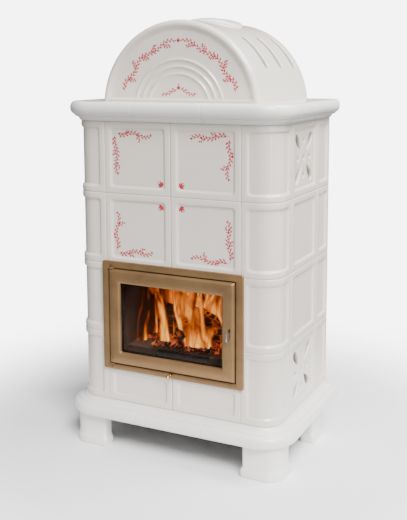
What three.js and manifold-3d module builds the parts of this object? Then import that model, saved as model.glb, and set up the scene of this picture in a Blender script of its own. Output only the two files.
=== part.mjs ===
// Free-standing tiled wood stove: glazed corner and panel tiles on a moulded plinth with four feet,
// a moulded cornice, an arched hot-air crown, and a glass door in a bronzed surround.
// Millimetres, +Z up, the door faces -Y. The origin is on the floor, at the middle of the whole object.
import * as THREE from "three";
import { mergeVertices } from "three/addons/utils/BufferGeometryUtils.js";
import Module from "manifold-3d";

const wasm = await Module();
wasm.setup();

// ---- Driving dimensions -------------------------------------------------------------------------
const TILE_WIDTH = 220; // one full stove tile
const COURSE = 213.6; // height of one course of tiles
const COURSES = 4;
const CORNER_RADIUS = 64; // round outer corner of the tiled body
const TILE_THICKNESS = 28;
const FOOT_HEIGHT = 98;
const PLINTH_HEIGHT = 54;
const CORNICE_HEIGHT = 57;
const PLINTH_OVERHANG = 40.5;
const CORNICE_OVERHANG = 32.5;
const CROWN_RADIUS = 255; // outside of the arched crown
const CROWN_SINK = 21; // how far the arch's centre lies below the cornice top
const CROWN_WALL = 18;
const COVER_RADIUS = 92; // lid over the top flue opening
const FLUE_RADIUS = 75; // 150 mm stove pipe
const DOOR_OPENING = { half: 209.5, low: 118, high: 416 }; // clear opening of the surround
const CLEARANCE = 0.3; // between two pieces that touch
const ARC_STEPS = 8; // flats on a quarter round

// ---- Places worked out from them ----------------------------------------------------------------
// Heights are counted from the underside of the tiled body, depths from the front face of the tiles.
const BODY_BASE = FOOT_HEIGHT + PLINTH_HEIGHT;
const HALF_WIDTH = (3 * TILE_WIDTH) / 2;
const CORNER_RUN = TILE_WIDTH / 2; // what a corner tile covers on each side
const BODY_TOP = COURSES * COURSE;
const CORNICE_TOP = BODY_TOP + CORNICE_HEIGHT;
const REAR = 2 * TILE_WIDTH + 4; // rear ends of tiles, plinth, cornice and crown
const BACK_SHEET = 2;
const COLLAR_REACH = 32; // flue collar beyond the tiles' rear ends
const FLUE_DEPTH = 285; // middle of the crown's lid and of the slots
const OUTLET_HEIGHT = 575; // middle of the rear flue outlet
const CROWN_FRONT = 48;
const CROWN_CENTRE = CORNICE_TOP - CROWN_SINK;
const CROWN_CREST = CROWN_CENTRE + CROWN_RADIUS;
const ARC_START = HALF_WIDTH - CORNER_RADIUS;
const ARC_LENGTH = (CORNER_RADIUS * Math.PI) / 2;

const CASING = { half: 222, front: 40, rear: 372, top: 670, wall: 4, floor: 2.7 };
const SLEEVE = { half: 212, low: 115.5, high: 418.5 }; // outside of the surround's sleeve
const HEARTH = 160; // top of the hearth and the grate
const BRICK = 30; // firebrick thickness
const BRICK_TOP = 470;
const DOOR_LEAF = { half: 206.2, low: 121.3, high: 412.7, front: -16, rear: 12 };
const GLASS_OPENING = { half: 168, low: 158.5, high: 372 };
const HINGE = { x: -200, y: -8, radius: 2.5, bore: 2.8 };
const LATCH = { x: 192, pivotY: 3, pivotZ: 257, low: 249.5, high: 280 };
const AIR_ROD = { z: 111.5, radius: 2.5, notch: 5.3 };

// ---- Finishes -----------------------------------------------------------------------------------
const FINISHES = {
  glaze: { color: 0xdedad4, roughness: 0.18, metalness: 0 },
  bronze: { color: 0x8f6d48, roughness: 0.42, metalness: 0.8 },
  blackSteel: { color: 0x1d1d1f, roughness: 0.6, metalness: 0.6 },
  greySteel: { color: 0x5b5d60, roughness: 0.5, metalness: 0.7 },
  castIron: { color: 0x2b2a2a, roughness: 0.75, metalness: 0.5 },
  fireclay: { color: 0x8d7a62, roughness: 0.95, metalness: 0 },
  glass: { color: 0x2a1a12, roughness: 0.05, metalness: 0, transparent: true, opacity: 0.35 },
  brass: { color: 0xb59655, roughness: 0.25, metalness: 1 },
};

// ---- Solids: joining and cutting ----------------------------------------------------------------
function toSolid(geometry) {
  const bare = geometry.clone();
  bare.deleteAttribute("normal");
  bare.deleteAttribute("uv");
  const merged = mergeVertices(bare, 1e-4);
  return new wasm.Manifold(
    new wasm.Mesh({
      numProp: 3,
      vertProperties: merged.attributes.position.array,
      triVerts: new Uint32Array(merged.index.array),
    }),
  );
}

function toGeometry(solid) {
  const mesh = solid.getMesh();
  const geometry = new THREE.BufferGeometry();
  geometry.setAttribute("position", new THREE.BufferAttribute(mesh.vertProperties, 3));
  geometry.setIndex(new THREE.BufferAttribute(mesh.triVerts, 1));
  const faceted = geometry.toNonIndexed();
  faceted.computeVertexNormals();
  return faceted;
}

function cut(base, ...tools) {
  return toGeometry(tools.reduce((left, tool) => left.subtract(toSolid(tool)), toSolid(base)));
}

function join(base, ...others) {
  return toGeometry(others.reduce((sum, other) => sum.add(toSolid(other)), toSolid(base)));
}

function common(first, second) {
  return toGeometry(toSolid(first).intersect(toSolid(second)));
}

// ---- Solids: simple shapes ----------------------------------------------------------------------
function block(x0, x1, y0, y1, z0, z1) {
  const box = new THREE.BoxGeometry(x1 - x0, y1 - y0, z1 - z0);
  return box.translate((x0 + x1) / 2, (y0 + y1) / 2, (z0 + z1) / 2);
}

function extrusion(points, depth) {
  const shape = new THREE.Shape(points.map(([u, v]) => new THREE.Vector2(u, v)));
  return new THREE.ExtrudeGeometry(shape, { depth, bevelEnabled: false });
}

// An outline in the XZ plane, drawn out from y0 to y1.
function extrudeY(points, y0, y1) {
  return extrusion(points, y1 - y0).rotateX(Math.PI / 2).translate(0, y1, 0);
}

// An outline in the YZ plane, drawn out from x0 to x1.
function extrudeX(points, x0, x1) {
  const turn = new THREE.Matrix4().set(0, 0, 1, 0, 1, 0, 0, 0, 0, 1, 0, 0, 0, 0, 0, 1);
  return extrusion(points, x1 - x0).applyMatrix4(turn).translate(x0, 0, 0);
}

// An outline in the XY plane, drawn out from z0 to z1.
function extrudeZ(points, z0, z1) {
  return extrusion(points, z1 - z0).translate(0, 0, z0);
}

function rodX(y, z, radius, x0, x1, sides = 16) {
  const rod = new THREE.CylinderGeometry(radius, radius, x1 - x0, sides);
  return rod.rotateZ(Math.PI / 2).translate((x0 + x1) / 2, y, z);
}

function rodY(x, z, radius, y0, y1, sides = 24) {
  return new THREE.CylinderGeometry(radius, radius, y1 - y0, sides).translate(x, (y0 + y1) / 2, z);
}

function rodZ(x, y, radius, z0, z1, sides = 24) {
  const rod = new THREE.CylinderGeometry(radius, radius, z1 - z0, sides);
  return rod.rotateX(Math.PI / 2).translate(x, y, (z0 + z1) / 2);
}

// A body turned about a line along Y (profile points are [radius, y]).
function turnedY(profile, x, z, steps) {
  const points = profile.map(([radius, y]) => new THREE.Vector2(radius, y));
  return new THREE.LatheGeometry(points, steps).translate(x, 0, z);
}

// A body turned about a line along Z (profile points are [radius, z]).
function turnedZ(profile, x, y, steps) {
  const points = profile.map(([radius, z]) => new THREE.Vector2(radius, z));
  return new THREE.LatheGeometry(points, steps).rotateX(Math.PI / 2).translate(x, y, 0);
}

function arc(cx, cy, rx, ry, fromDeg, toDeg, steps) {
  return Array.from({ length: steps + 1 }, (_, i) => {
    const angle = THREE.MathUtils.degToRad(fromDeg + ((toDeg - fromDeg) * i) / steps);
    return [cx + rx * Math.cos(angle), cy + ry * Math.sin(angle)];
  });
}

// ---- Solids: lofts through loops of equal point counts -------------------------------------------
// Loops hold [x, y, z] points, counter-clockwise as seen from the side of the last loop.
function bands(loops, closed) {
  const count = loops[0].length;
  const faces = [];
  const bandCount = closed ? loops.length : loops.length - 1;
  for (let k = 0; k < bandCount; k++) {
    const a = k * count;
    const b = ((k + 1) % loops.length) * count;
    for (let i = 0; i < count; i++) {
      const j = (i + 1) % count;
      faces.push(a + i, a + j, b + j, a + i, b + j, b + i);
    }
  }
  return faces;
}

function meshOf(loops, faces) {
  const geometry = new THREE.BufferGeometry();
  geometry.setAttribute("position", new THREE.Float32BufferAttribute(loops.flat(2), 3));
  geometry.setIndex(faces);
  const faceted = geometry.toNonIndexed();
  faceted.computeVertexNormals();
  return faceted;
}

// A ring: the section goes once round through every loop.
function ring(loops) {
  return meshOf(loops, bands(loops, true));
}

// A body whose first and last loops are filled by strips between their lower and upper halves.
function loft(loops) {
  const count = loops[0].length;
  const faces = bands(loops, false);
  const last = (loops.length - 1) * count;
  for (let i = 0; i < count / 2 - 1; i++) {
    const [a, b, c, d] = [i, i + 1, count - 2 - i, count - 1 - i];
    faces.push(a, c, b, a, d, c);
    faces.push(last + a, last + b, last + c, last + a, last + c, last + d);
  }
  return meshOf(loops, faces);
}

// A body that stands on the first of its level outlines; outlines hold [x, y], counter-clockwise.
function stack(levels) {
  const loops = levels.map(({ z, outline }) => outline.map(([x, y]) => [x, y, z]));
  const count = loops[0].length;
  const last = (loops.length - 1) * count;
  const faces = bands(loops, false);
  const fill = (outline) =>
    THREE.ShapeUtils.triangulateShape(outline.map(([x, y]) => new THREE.Vector2(x, y)), []);
  fill(levels[0].outline).forEach(([a, b, c]) => faces.push(a, c, b));
  fill(levels.at(-1).outline).forEach(([a, b, c]) => faces.push(last + a, last + b, last + c));
  return meshOf(loops, faces);
}

// A rectangle with round corners, [u, v] points from the lower left, counter-clockwise. The stations
// are extra points on the lower and upper edges, so that the outline can follow a bend.
function roundedRect({ left, right, low, high }, radius, stations = []) {
  const bottomLeft = arc(left + radius, low + radius, radius, radius, 180, 270, 2);
  const bottomRight = arc(right - radius, low + radius, radius, radius, 270, 360, 2);
  const topRight = arc(right - radius, high - radius, radius, radius, 0, 90, 2);
  const topLeft = arc(left + radius, high - radius, radius, radius, 90, 180, 2);
  const lower = stations.map((u) => [u, low]);
  const upper = stations.toReversed().map((u) => [u, high]);
  return [...bottomLeft, ...lower, ...bottomRight, ...topRight, ...upper, ...topLeft];
}

function inset({ left, right, low, high }, by) {
  return { left: left + by, right: right - by, low: low + by, high: high - by };
}

// ---- The tiled wall -----------------------------------------------------------------------------
// A run along the wall starts at the middle of the front and goes round the right-hand corner.
function wallPoint(run, depth) {
  if (run <= ARC_START) return [run, depth];
  if (run >= ARC_START + ARC_LENGTH) {
    return [HALF_WIDTH - depth, CORNER_RADIUS + run - ARC_START - ARC_LENGTH];
  }
  const angle = (run - ARC_START) / CORNER_RADIUS;
  const reach = CORNER_RADIUS - depth;
  return [ARC_START + reach * Math.sin(angle), CORNER_RADIUS - reach * Math.cos(angle)];
}

function sideRun(y) {
  return ARC_START + ARC_LENGTH + y - CORNER_RADIUS;
}

const BEND = Array.from({ length: ARC_STEPS + 1 }, (_, i) => ARC_START + (ARC_LENGTH * i) / ARC_STEPS);

const TILE_JOINT = 0.4; // dry gap between two tiles
const TILE_EDGE = 2.5; // rounded outer edge
const TILE_BORDER = 17; // raised border round the panel
const PANEL_SLOPE = 6;
const PANEL_DEPTH = 5.5;

function tile(left, right, low, high, panelRadius = 6) {
  const outer = inset({ left, right, low, high }, TILE_JOINT / 2);
  const stations = BEND.filter((run) => run > left + 30 && run < right - 30);
  const outline = (by, radius, depth) =>
    roundedRect(inset(outer, by), radius, stations).map(([run, z]) => {
      const [x, y] = wallPoint(run, depth);
      return [x, y, z];
    });
  return loft([
    outline(0, 1, TILE_THICKNESS),
    outline(0, 1, TILE_EDGE),
    outline(TILE_EDGE, 1, 0),
    outline(TILE_BORDER, panelRadius + 2, 0),
    outline(TILE_BORDER + PANEL_SLOPE, panelRadius, PANEL_DEPTH),
  ]);
}

// One of the four petals: a point towards the middle, round at its far end.
function petal(angle) {
  const near = 32;
  const length = 65;
  const halfWidth = 13.5;
  const steps = 5;
  const side = (sign, i) => {
    const f = (1 - Math.cos((Math.PI * i) / steps)) / 2;
    const across = sign * halfWidth * 2.6 * f * Math.sqrt(1 - f);
    const along = near + length * f;
    return [along * Math.cos(angle) - across * Math.sin(angle),
      along * Math.sin(angle) + across * Math.cos(angle)];
  };
  const right = Array.from({ length: steps }, (_, i) => side(-1, i));
  const left = Array.from({ length: steps }, (_, i) => side(1, steps - i));
  return [...right, ...left];
}

// The air tile in the side walls: four petals and five small holes.
function piercedTile(course) {
  const middleY = TILE_WIDTH;
  const middleZ = (course + 0.5) * COURSE;
  const spread = 51;
  const through = (outline) => {
    const placed = outline.map(([u, v]) => [middleY + u, middleZ + v]);
    return extrudeX(placed, HALF_WIDTH - 2 * TILE_THICKNESS, HALF_WIDTH + 10);
  };
  const petals = [45, 135, 225, 315].map((deg) => through(petal(THREE.MathUtils.degToRad(deg))));
  const dots = [[0, 0], [spread, 0], [-spread, 0], [0, spread], [0, -spread]];
  const holes = dots.map(([u, v]) => through(arc(u, v, 7.5, 7.5, 0, 315, 7)));
  return cut(sideTile(course), ...petals, ...holes);
}

function sideTile(course) {
  const low = course * COURSE;
  return tile(sideRun(CORNER_RUN), sideRun(CORNER_RUN + TILE_WIDTH), low, low + COURSE);
}

function cornerTile(course) {
  const low = course * COURSE;
  return tile(CORNER_RUN + TILE_WIDTH / 2, sideRun(CORNER_RUN), low, low + COURSE);
}

// The half-width tiles at the rear, four of them on one back rail.
function rearColumn() {
  const start = CORNER_RUN + TILE_WIDTH;
  const rail = block(HALF_WIDTH - TILE_THICKNESS + 1, HALF_WIDTH - 12, start + 1, REAR - 1, 1, BODY_TOP - 1);
  const tiles = Array.from({ length: COURSES }, (_, course) =>
    tile(sideRun(start), sideRun(REAR), course * COURSE, (course + 1) * COURSE));
  return join(rail, ...tiles);
}

// ---- Plinth and cornice -------------------------------------------------------------------------
// The moulding's face, [overhang, height] from the wall: a cove, a narrow fillet and a full round nose.
function mouldingFace(height, overhang) {
  const noseHeight = (height - 17) / 2;
  const noseWidth = 14.5;
  const nose = arc(overhang - noseWidth, height - noseHeight, noseWidth, noseHeight, -78, 90, 8);
  const cove = [[4, CLEARANCE], [8, 6], [14, 10], [21, 12.5], [23.5, 16.5]];
  return [...cove.map(([out, up]) => [(out * overhang) / 40, up]), ...nose];
}

const CORNICE_DECK = { front: 82, side: 100 }; // how far the flat top reaches inwards

function cornicePiece(from, to, deckInset) {
  const face = mouldingFace(CORNICE_HEIGHT, CORNICE_OVERHANG);
  const deckDepth = 20;
  const inner = [[-deckInset, CORNICE_HEIGHT], [-deckInset, CORNICE_HEIGHT - deckDepth],
    [-TILE_THICKNESS, CORNICE_HEIGHT - deckDepth], [-TILE_THICKNESS, CLEARANCE]];
  return sweep([...face, ...inner].toReversed(), from, to, BODY_TOP);
}

function corniceCorner() {
  const bare = cornicePiece(TILE_WIDTH / 2, sideRun(TILE_WIDTH), TILE_THICKNESS + 2);
  const side = HALF_WIDTH - CORNICE_DECK.side;
  const bend = CORNER_RADIUS - TILE_THICKNESS - 1;
  const deck = [
    [TILE_WIDTH / 2 + CLEARANCE / 2, TILE_THICKNESS + 1],
    ...arc(ARC_START, CORNER_RADIUS, bend, bend, -90, 0, ARC_STEPS),
    [HALF_WIDTH - TILE_THICKNESS - 1, TILE_WIDTH - CLEARANCE / 2],
    [side, TILE_WIDTH - CLEARANCE / 2],
    [side, CORNICE_DECK.front],
    [TILE_WIDTH / 2 + CLEARANCE / 2, CORNICE_DECK.front],
  ];
  return join(bare, extrudeZ(deck, CORNICE_TOP - 20, CORNICE_TOP));
}

const PLINTH_SEAT = 19; // how far the plinth reaches in under the tiles

function plinthPiece(from, to) {
  const face = mouldingFace(PLINTH_HEIGHT, PLINTH_OVERHANG).map(([out, up]) => [out, -up]);
  const inner = [[-PLINTH_SEAT, -PLINTH_HEIGHT], [-PLINTH_SEAT, -CLEARANCE]];
  return sweep([...face, ...inner], from, to, 0);
}

// Draws a moulding along the wall. Its profile holds [overhang, height], clockwise seen along the run.
function sweep(profile, from, to, base) {
  const start = from + CLEARANCE / 2;
  const end = to - CLEARANCE / 2;
  const runs = [start, ...BEND.filter((run) => run > start && run < end), end];
  const loops = runs.map((run) =>
    profile.map(([out, up]) => {
      const [x, y] = wallPoint(run, -out);
      return [x, y, base + up];
    }));
  const count = profile.length;
  const last = (runs.length - 1) * count;
  const faces = bands(loops, false);
  const section = profile.map(([out, up]) => new THREE.Vector2(out, up));
  for (const [a, b, c] of THREE.ShapeUtils.triangulateShape(section, [])) {
    faces.push(a, b, c, last + a, last + c, last + b);
  }
  return meshOf(loops, faces);
}

// ---- Feet ---------------------------------------------------------------------------------------
const FOOT_PROUD = 12; // outer face of a foot beyond the tiles
const FOOT_WALL = 39;
const FOOT_FLARE = 5;

function foot(plan) {
  const top = -PLINTH_HEIGHT - CLEARANCE;
  const bottom = -BODY_BASE;
  return stack([
    { z: bottom, outline: plan(FOOT_FLARE - 3) },
    { z: bottom + 4, outline: plan(FOOT_FLARE) },
    { z: bottom + 20, outline: plan(FOOT_FLARE) },
    { z: bottom + 32, outline: plan(0) },
    { z: top, outline: plan(0) },
  ]);
}

// A bracket foot: two wings round the corner, with a bearing web in their inner angle.
function frontFootPlan(flare) {
  const face = HALF_WIDTH + FOOT_PROUD;
  const radius = 45;
  const wingEnd = 75;
  return [
    [230 - flare, -FOOT_PROUD - flare],
    ...arc(face - radius, radius - FOOT_PROUD, radius + flare, radius + flare, -90, 0, 6),
    [face + flare, wingEnd + flare],
    [face - FOOT_WALL, wingEnd + flare],
    [face - FOOT_WALL, 65],
    [265, FOOT_WALL - FOOT_PROUD],
    [230 - flare, FOOT_WALL - FOOT_PROUD],
  ];
}

function rearFootPlan(flare) {
  const face = HALF_WIDTH + FOOT_PROUD;
  return [
    [face - FOOT_WALL, 284 - flare],
    [face + flare, 284 - flare],
    [face + flare, 363 + flare],
    [face - FOOT_WALL, 363 + flare],
  ];
}

// ---- Crown --------------------------------------------------------------------------------------
// An arch on a level base, [x, z] points counter-clockwise seen from the front.
function archOutline(radius, base, steps = 25) {
  const lift = base - CROWN_CENTRE;
  const springing = THREE.MathUtils.radToDeg(Math.asin(lift / radius));
  return arc(0, CROWN_CENTRE, radius, radius, springing, 180 - springing, steps);
}

function archLoft(sections) {
  const loops = sections.map(({ radius, base, y }) =>
    archOutline(radius, base).map(([x, z]) => [x, y, z]));
  return loft(loops);
}

// A hot-air slot with round ends, cut square through the vault on its shoulder.
function crownSlot(side, y) {
  const middle = 41; // degrees above the springing
  const halfLength = 61;
  const halfWidth = 13;
  const right = arc(halfLength - halfWidth, 0, halfWidth, halfWidth, -90, 90, 4);
  const left = arc(halfWidth - halfLength, 0, halfWidth, halfWidth, 90, 270, 4);
  const slot = extrudeZ([...right, ...left], CROWN_RADIUS - 60, CROWN_RADIUS + 20);
  slot.rotateY(THREE.MathUtils.degToRad(side * (90 - middle)));
  return slot.translate(0, y, CROWN_CENTRE);
}

const CROWN_RIM = 238; // inner edge of the round front rim
const PANEL_RIM = 225; // edge of the recessed lunette
const LUNETTE_DEPTH = 8;
const SILL = 12; // low bar under the lunette
const RIB_RADII = [142, 122, 101.5];
const RIB_HEIGHT = 4;

function crownHood() {
  const base = CORNICE_TOP + CLEARANCE;
  const shell = archLoft([
    { radius: CROWN_RADIUS, base, y: REAR },
    { radius: CROWN_RADIUS, base, y: CROWN_FRONT + 15 },
    { radius: CROWN_RADIUS - 4, base, y: CROWN_FRONT + 5 },
    { radius: CROWN_RADIUS - 12, base, y: CROWN_FRONT },
  ]);
  const panel = CROWN_FRONT + LUNETTE_DEPTH;
  const ribs = RIB_RADII.flatMap((radius) =>
    [[radius + 6, panel], [radius + 2, panel - RIB_HEIGHT], [radius - 2, panel - RIB_HEIGHT],
      [radius - 6, panel]]);
  const recess = turnedY([[0, CROWN_FRONT - 20], [CROWN_RIM, CROWN_FRONT - 20],
    [CROWN_RIM, CROWN_FRONT], [PANEL_RIM, panel], ...ribs, [0, panel]], 0, CROWN_CENTRE, 48);
  const sill = extrudeX([[CROWN_FRONT - 30, base - 300], [panel + 30, base - 300],
    [panel + 30, base + SILL], [panel, base + SILL], [CROWN_FRONT, base + 4],
    [CROWN_FRONT - 30, base + 4]], -CROWN_RADIUS, CROWN_RADIUS);
  const lunette = cut(recess, sill);
  const inside = archLoft([
    { radius: CROWN_RADIUS - CROWN_WALL, base: base - 2, y: REAR + 5 },
    { radius: CROWN_RADIUS - CROWN_WALL, base: base - 2, y: CROWN_FRONT + LUNETTE_DEPTH + 14 },
  ]);
  const slots = [-1, 1].flatMap((side) =>
    [-111, 0, 111].map((offset) => crownSlot(side, FLUE_DEPTH + offset)));
  const outlet = rodZ(0, FLUE_DEPTH, FLUE_RADIUS, CROWN_CREST - 60, CROWN_CREST + 10, 32);
  return cut(shell, lunette, inside, outlet, ...slots);
}

// The low domed lid over the top outlet: it falls away to both sides with the vault it rests on,
// and a short spigot drops into the hole.
function flueCover() {
  const top = CROWN_CREST + 14;
  const fall = 182; // radius of the lid's top from side to side
  const profile = [[0, CROWN_CREST - 30], [COVER_RADIUS, CROWN_CREST - 30], [COVER_RADIUS, top - 10],
    [COVER_RADIUS - 3, top - 8], [COVER_RADIUS - 14, top - 5], [COVER_RADIUS - 40, top - 1.5], [0, top]];
  const barrel = rodY(0, top + 0.5 - fall, fall, FLUE_DEPTH - COVER_RADIUS - 5, FLUE_DEPTH + COVER_RADIUS + 5, 96);
  const lid = common(turnedZ(profile, 0, FLUE_DEPTH, 32), barrel);
  const vault = rodY(0, CROWN_CENTRE, CROWN_RADIUS + CLEARANCE, 0, REAR, 96);
  const spigot = [[66, CROWN_CREST - 24], [70, CROWN_CREST - 24], [70, CROWN_CREST + 4],
    [66, CROWN_CREST + 4], [66, CROWN_CREST - 24]];
  return join(cut(lid, vault), turnedZ(spigot, 0, FLUE_DEPTH, 32));
}

// ---- Steel and fireclay inside ------------------------------------------------------------------
function baseTray() {
  const wall = 4;
  const outline = (by) => {
    const half = HALF_WIDTH - PLINTH_SEAT - 3 - by;
    const front = PLINTH_SEAT + 1 + by;
    const rear = REAR - 1 - by;
    const radius = CORNER_RADIUS - PLINTH_SEAT - by;
    const right = arc(half - radius, front + radius, radius, radius, -90, 0, 4);
    const left = arc(radius - half, front + radius, radius, radius, 180, 270, 4);
    return [...right, [half, rear], [-half, rear], ...left];
  };
  const shell = extrudeZ(outline(0), -PLINTH_HEIGHT, -2);
  const hollow = extrudeZ(outline(wall), -100, -2 - wall);
  const airInlet = rodZ(0, 200, 50, -20, 10, 24);
  return cut(shell, hollow, airInlet);
}

function fireboxCasing() {
  const { half, front, rear, top, wall, floor } = CASING;
  const floorTop = DOOR_OPENING.low - CLEARANCE;
  const shell = block(-half, half, front, rear, -1.7, top);
  const firebox = block(-half + wall, half - wall, front + wall, rear - wall, floorTop, top - wall);
  const ashRoom = block(-half + wall, half - wall, front + wall, rear - wall, -10, floorTop - floor);
  const mouth = block(-SLEEVE.half - 0.3, SLEEVE.half + 0.3, front - 5, front + wall + 1,
    SLEEVE.low - 0.3, SLEEVE.high + 0.3);
  const rodHole = join(rodY(0, AIR_ROD.z, 3.5, front - 5, front + wall + 1, 16),
    block(-3.5, 3.5, front - 5, front + wall + 1, AIR_ROD.z, SLEEVE.low + 1));
  const airPort = block(-30, 30, 96, 126, floorTop - 20, floorTop + 10);
  const outlet = rodY(0, OUTLET_HEIGHT, FLUE_RADIUS - 4, rear - 10, rear + 10, 32);
  return cut(shell, firebox, ashRoom, mouth, rodHole, airPort, outlet);
}

function backPanel() {
  const half = 316;
  const top = CORNICE_TOP - 6;
  const arch = archOutline(CROWN_RADIUS - 8, top);
  const outline = [[-half, -PLINTH_HEIGHT + 4], [half, -PLINTH_HEIGHT + 4], [half, top], ...arch, [-half, top]];
  const front = REAR + CLEARANCE;
  const sheet = extrudeY(outline, front, front + BACK_SHEET);
  const outlet = rodY(0, OUTLET_HEIGHT, FLUE_RADIUS + 4, front - 5, front + 10, 32);
  const vents = [0, 1, 2, 3].map((row) =>
    block(-110, 110, front - 5, front + 10, CORNICE_TOP + 20 + 28 * row, CORNICE_TOP + 30 + 28 * row));
  return cut(sheet, outlet, ...vents);
}

function flueCollar() {
  const wall = 3;
  const start = CASING.rear + CLEARANCE;
  const profile = [[FLUE_RADIUS - wall, start], [FLUE_RADIUS + 20, start], [FLUE_RADIUS + 20, start + 4],
    [FLUE_RADIUS, start + 4], [FLUE_RADIUS, REAR + COLLAR_REACH], [FLUE_RADIUS - wall, REAR + COLLAR_REACH],
    [FLUE_RADIUS - wall, start]];
  return turnedY(profile, 0, OUTLET_HEIGHT, 32);
}

const LINING = { half: CASING.half - CASING.wall - 2, front: 56, rear: CASING.rear - CASING.wall - 2 };
const ASH_WELL = { half: 88, rear: 305 };

function hearthBricks() {
  const { half, front, rear } = LINING;
  const slab = block(-half, half, front, rear, DOOR_OPENING.low, HEARTH);
  const well = block(-ASH_WELL.half, ASH_WELL.half, front - 5, ASH_WELL.rear, 0, HEARTH + 5);
  const ledge = block(-ASH_WELL.half - 8, ASH_WELL.half + 8, front - 5, ASH_WELL.rear + 5, HEARTH - 8, HEARTH + 5);
  return cut(slab, well, ledge);
}

function sideBrick() {
  const { half, front, rear } = LINING;
  return block(half - BRICK, half, front, rear - BRICK - CLEARANCE, HEARTH + CLEARANCE, BRICK_TOP);
}

function rearBrick() {
  const { half, rear } = LINING;
  return block(-half, half, rear - BRICK, rear, HEARTH + CLEARANCE, BRICK_TOP);
}

function bafflePlate() {
  const { half, rear } = LINING;
  return block(-half, half, 112, rear, BRICK_TOP + CLEARANCE, BRICK_TOP + 25);
}

function grate() {
  const half = ASH_WELL.half + 7;
  const front = LINING.front + 4;
  const rear = ASH_WELL.rear + 4;
  const plate = block(-half, half, front, rear, HEARTH - 7.7, HEARTH);
  const slots = Array.from({ length: 9 }, (_, i) => {
    const x = (i - 4) * 18;
    return block(x - 4, x + 4, front + 16, rear - 16, HEARTH - 20, HEARTH + 20);
  });
  return cut(plate, ...slots);
}

function ashPan() {
  const half = ASH_WELL.half - 3;
  const low = DOOR_OPENING.low + CLEARANCE;
  const pan = block(-half, half, LINING.front + 6, ASH_WELL.rear - 7, low, HEARTH - 12);
  const inside = block(-half + 2, half - 2, LINING.front + 8, ASH_WELL.rear - 9, low + 2, HEARTH + 5);
  return cut(pan, inside);
}

// ---- Door ---------------------------------------------------------------------------------------
function frameLoop({ half, low, high }, by, radius, y) {
  const rect = inset({ left: -half, right: half, low, high }, by);
  return roundedRect(rect, radius).map(([x, z]) => [x, y, z]);
}

// The bronzed surround: a flange on the tiles, a sleeve through the wall and a stop for the door.
function doorSurround() {
  const flange = { half: 231, low: 101, high: 436 };
  const stop = { half: 197, low: 130.5, high: 403.5 };
  const body = ring([
    frameLoop(flange, 0, 6, -CLEARANCE),
    frameLoop(flange, 0, 6, -6),
    frameLoop(flange, 2, 5, -8),
    frameLoop(DOOR_OPENING, -1.5, 3, -8),
    frameLoop(DOOR_OPENING, 0, 2, -6.5),
    frameLoop(DOOR_OPENING, 0, 2, 16),
    frameLoop(stop, 0, 2, 16),
    frameLoop(stop, 0, 2, 20),
    frameLoop(DOOR_OPENING, 0, 2, 20),
    frameLoop(DOOR_OPENING, 0, 2, CASING.front + CASING.wall - CLEARANCE),
    frameLoop(SLEEVE, 0, 3, CASING.front + CASING.wall - CLEARANCE),
    frameLoop(SLEEVE, 0, 3, -CLEARANCE),
  ]);
  const ear = (low, high) => {
    const plate = block(HINGE.x - 8, HINGE.x + 8, -13, 6, low, high);
    return cut(plate, rodZ(HINGE.x, HINGE.y, HINGE.bore, low - 5, high + 5, 12));
  };
  const upper = DOOR_LEAF.high + 0.6;
  const lower = DOOR_LEAF.low - 0.6;
  const pinRoom = rodZ(HINGE.x, HINGE.y, HINGE.bore, DOOR_OPENING.low - 12, DOOR_OPENING.high + 12, 12);
  const withEars = join(body, ear(upper, DOOR_OPENING.high + 2), ear(DOOR_OPENING.low - 2, lower));
  const rodNotch = join(rodY(0, AIR_ROD.z, AIR_ROD.notch, -20, -CLEARANCE, 16),
    block(-AIR_ROD.notch, AIR_ROD.notch, -20, -CLEARANCE, AIR_ROD.z, DOOR_OPENING.low + 2));
  return cut(withEars, pinRoom, rodNotch);
}

function hingePin(low, high) {
  return rodZ(HINGE.x, HINGE.y, HINGE.radius, low, high, 12);
}

const GLASS_SEAT = { reach: 9, front: -5, thickness: 4 };

function doorFrame() {
  const { front, rear } = DOOR_LEAF;
  const body = ring([
    frameLoop(DOOR_LEAF, 0, 3, rear),
    frameLoop(DOOR_LEAF, 0, 3, front + 7),
    frameLoop(DOOR_LEAF, 6, 3, front),
    frameLoop(GLASS_OPENING, -5, 6, front),
    frameLoop(GLASS_OPENING, 0, 5, front + 4),
    frameLoop(GLASS_OPENING, 0, 5, GLASS_SEAT.front),
    frameLoop(GLASS_OPENING, -GLASS_SEAT.reach, 3, GLASS_SEAT.front),
    frameLoop(GLASS_OPENING, -GLASS_SEAT.reach, 3, rear),
  ]);
  const { x, pivotY, pivotZ, low, high } = LATCH;
  const halfSlot = 2.8;
  const slot = join(
    block(x - halfSlot, x + halfSlot, front - 5, rear + 5, low, high - halfSlot),
    rodY(x, high - halfSlot, halfSlot, front - 5, rear + 5, 12));
  const rearRoom = block(x - halfSlot, x + halfSlot, -4, rear + 5, low - 12, high);
  const trunnionRoom = join(rodX(pivotY, pivotZ, 3.4, x - 8, x + 8),
    block(x - 8, x + 8, pivotY, rear + 5, pivotZ - 3.4, pivotZ + 3.4));
  const pinBores = [[DOOR_LEAF.low - 5, DOOR_LEAF.low + 15.5], [DOOR_LEAF.high - 15.5, DOOR_LEAF.high + 5]]
    .map(([z0, z1]) => rodZ(HINGE.x, HINGE.y, HINGE.bore, z0, z1, 12));
  return cut(body, slot, rearRoom, trunnionRoom, ...pinBores);
}

function doorGlass() {
  const rect = { half: GLASS_OPENING.half, low: GLASS_OPENING.low, high: GLASS_OPENING.high };
  const by = CLEARANCE - GLASS_SEAT.reach;
  const front = GLASS_SEAT.front + CLEARANCE;
  return loft([
    frameLoop(rect, by, 3, front + GLASS_SEAT.thickness),
    frameLoop(rect, by, 3, front),
  ]);
}

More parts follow.
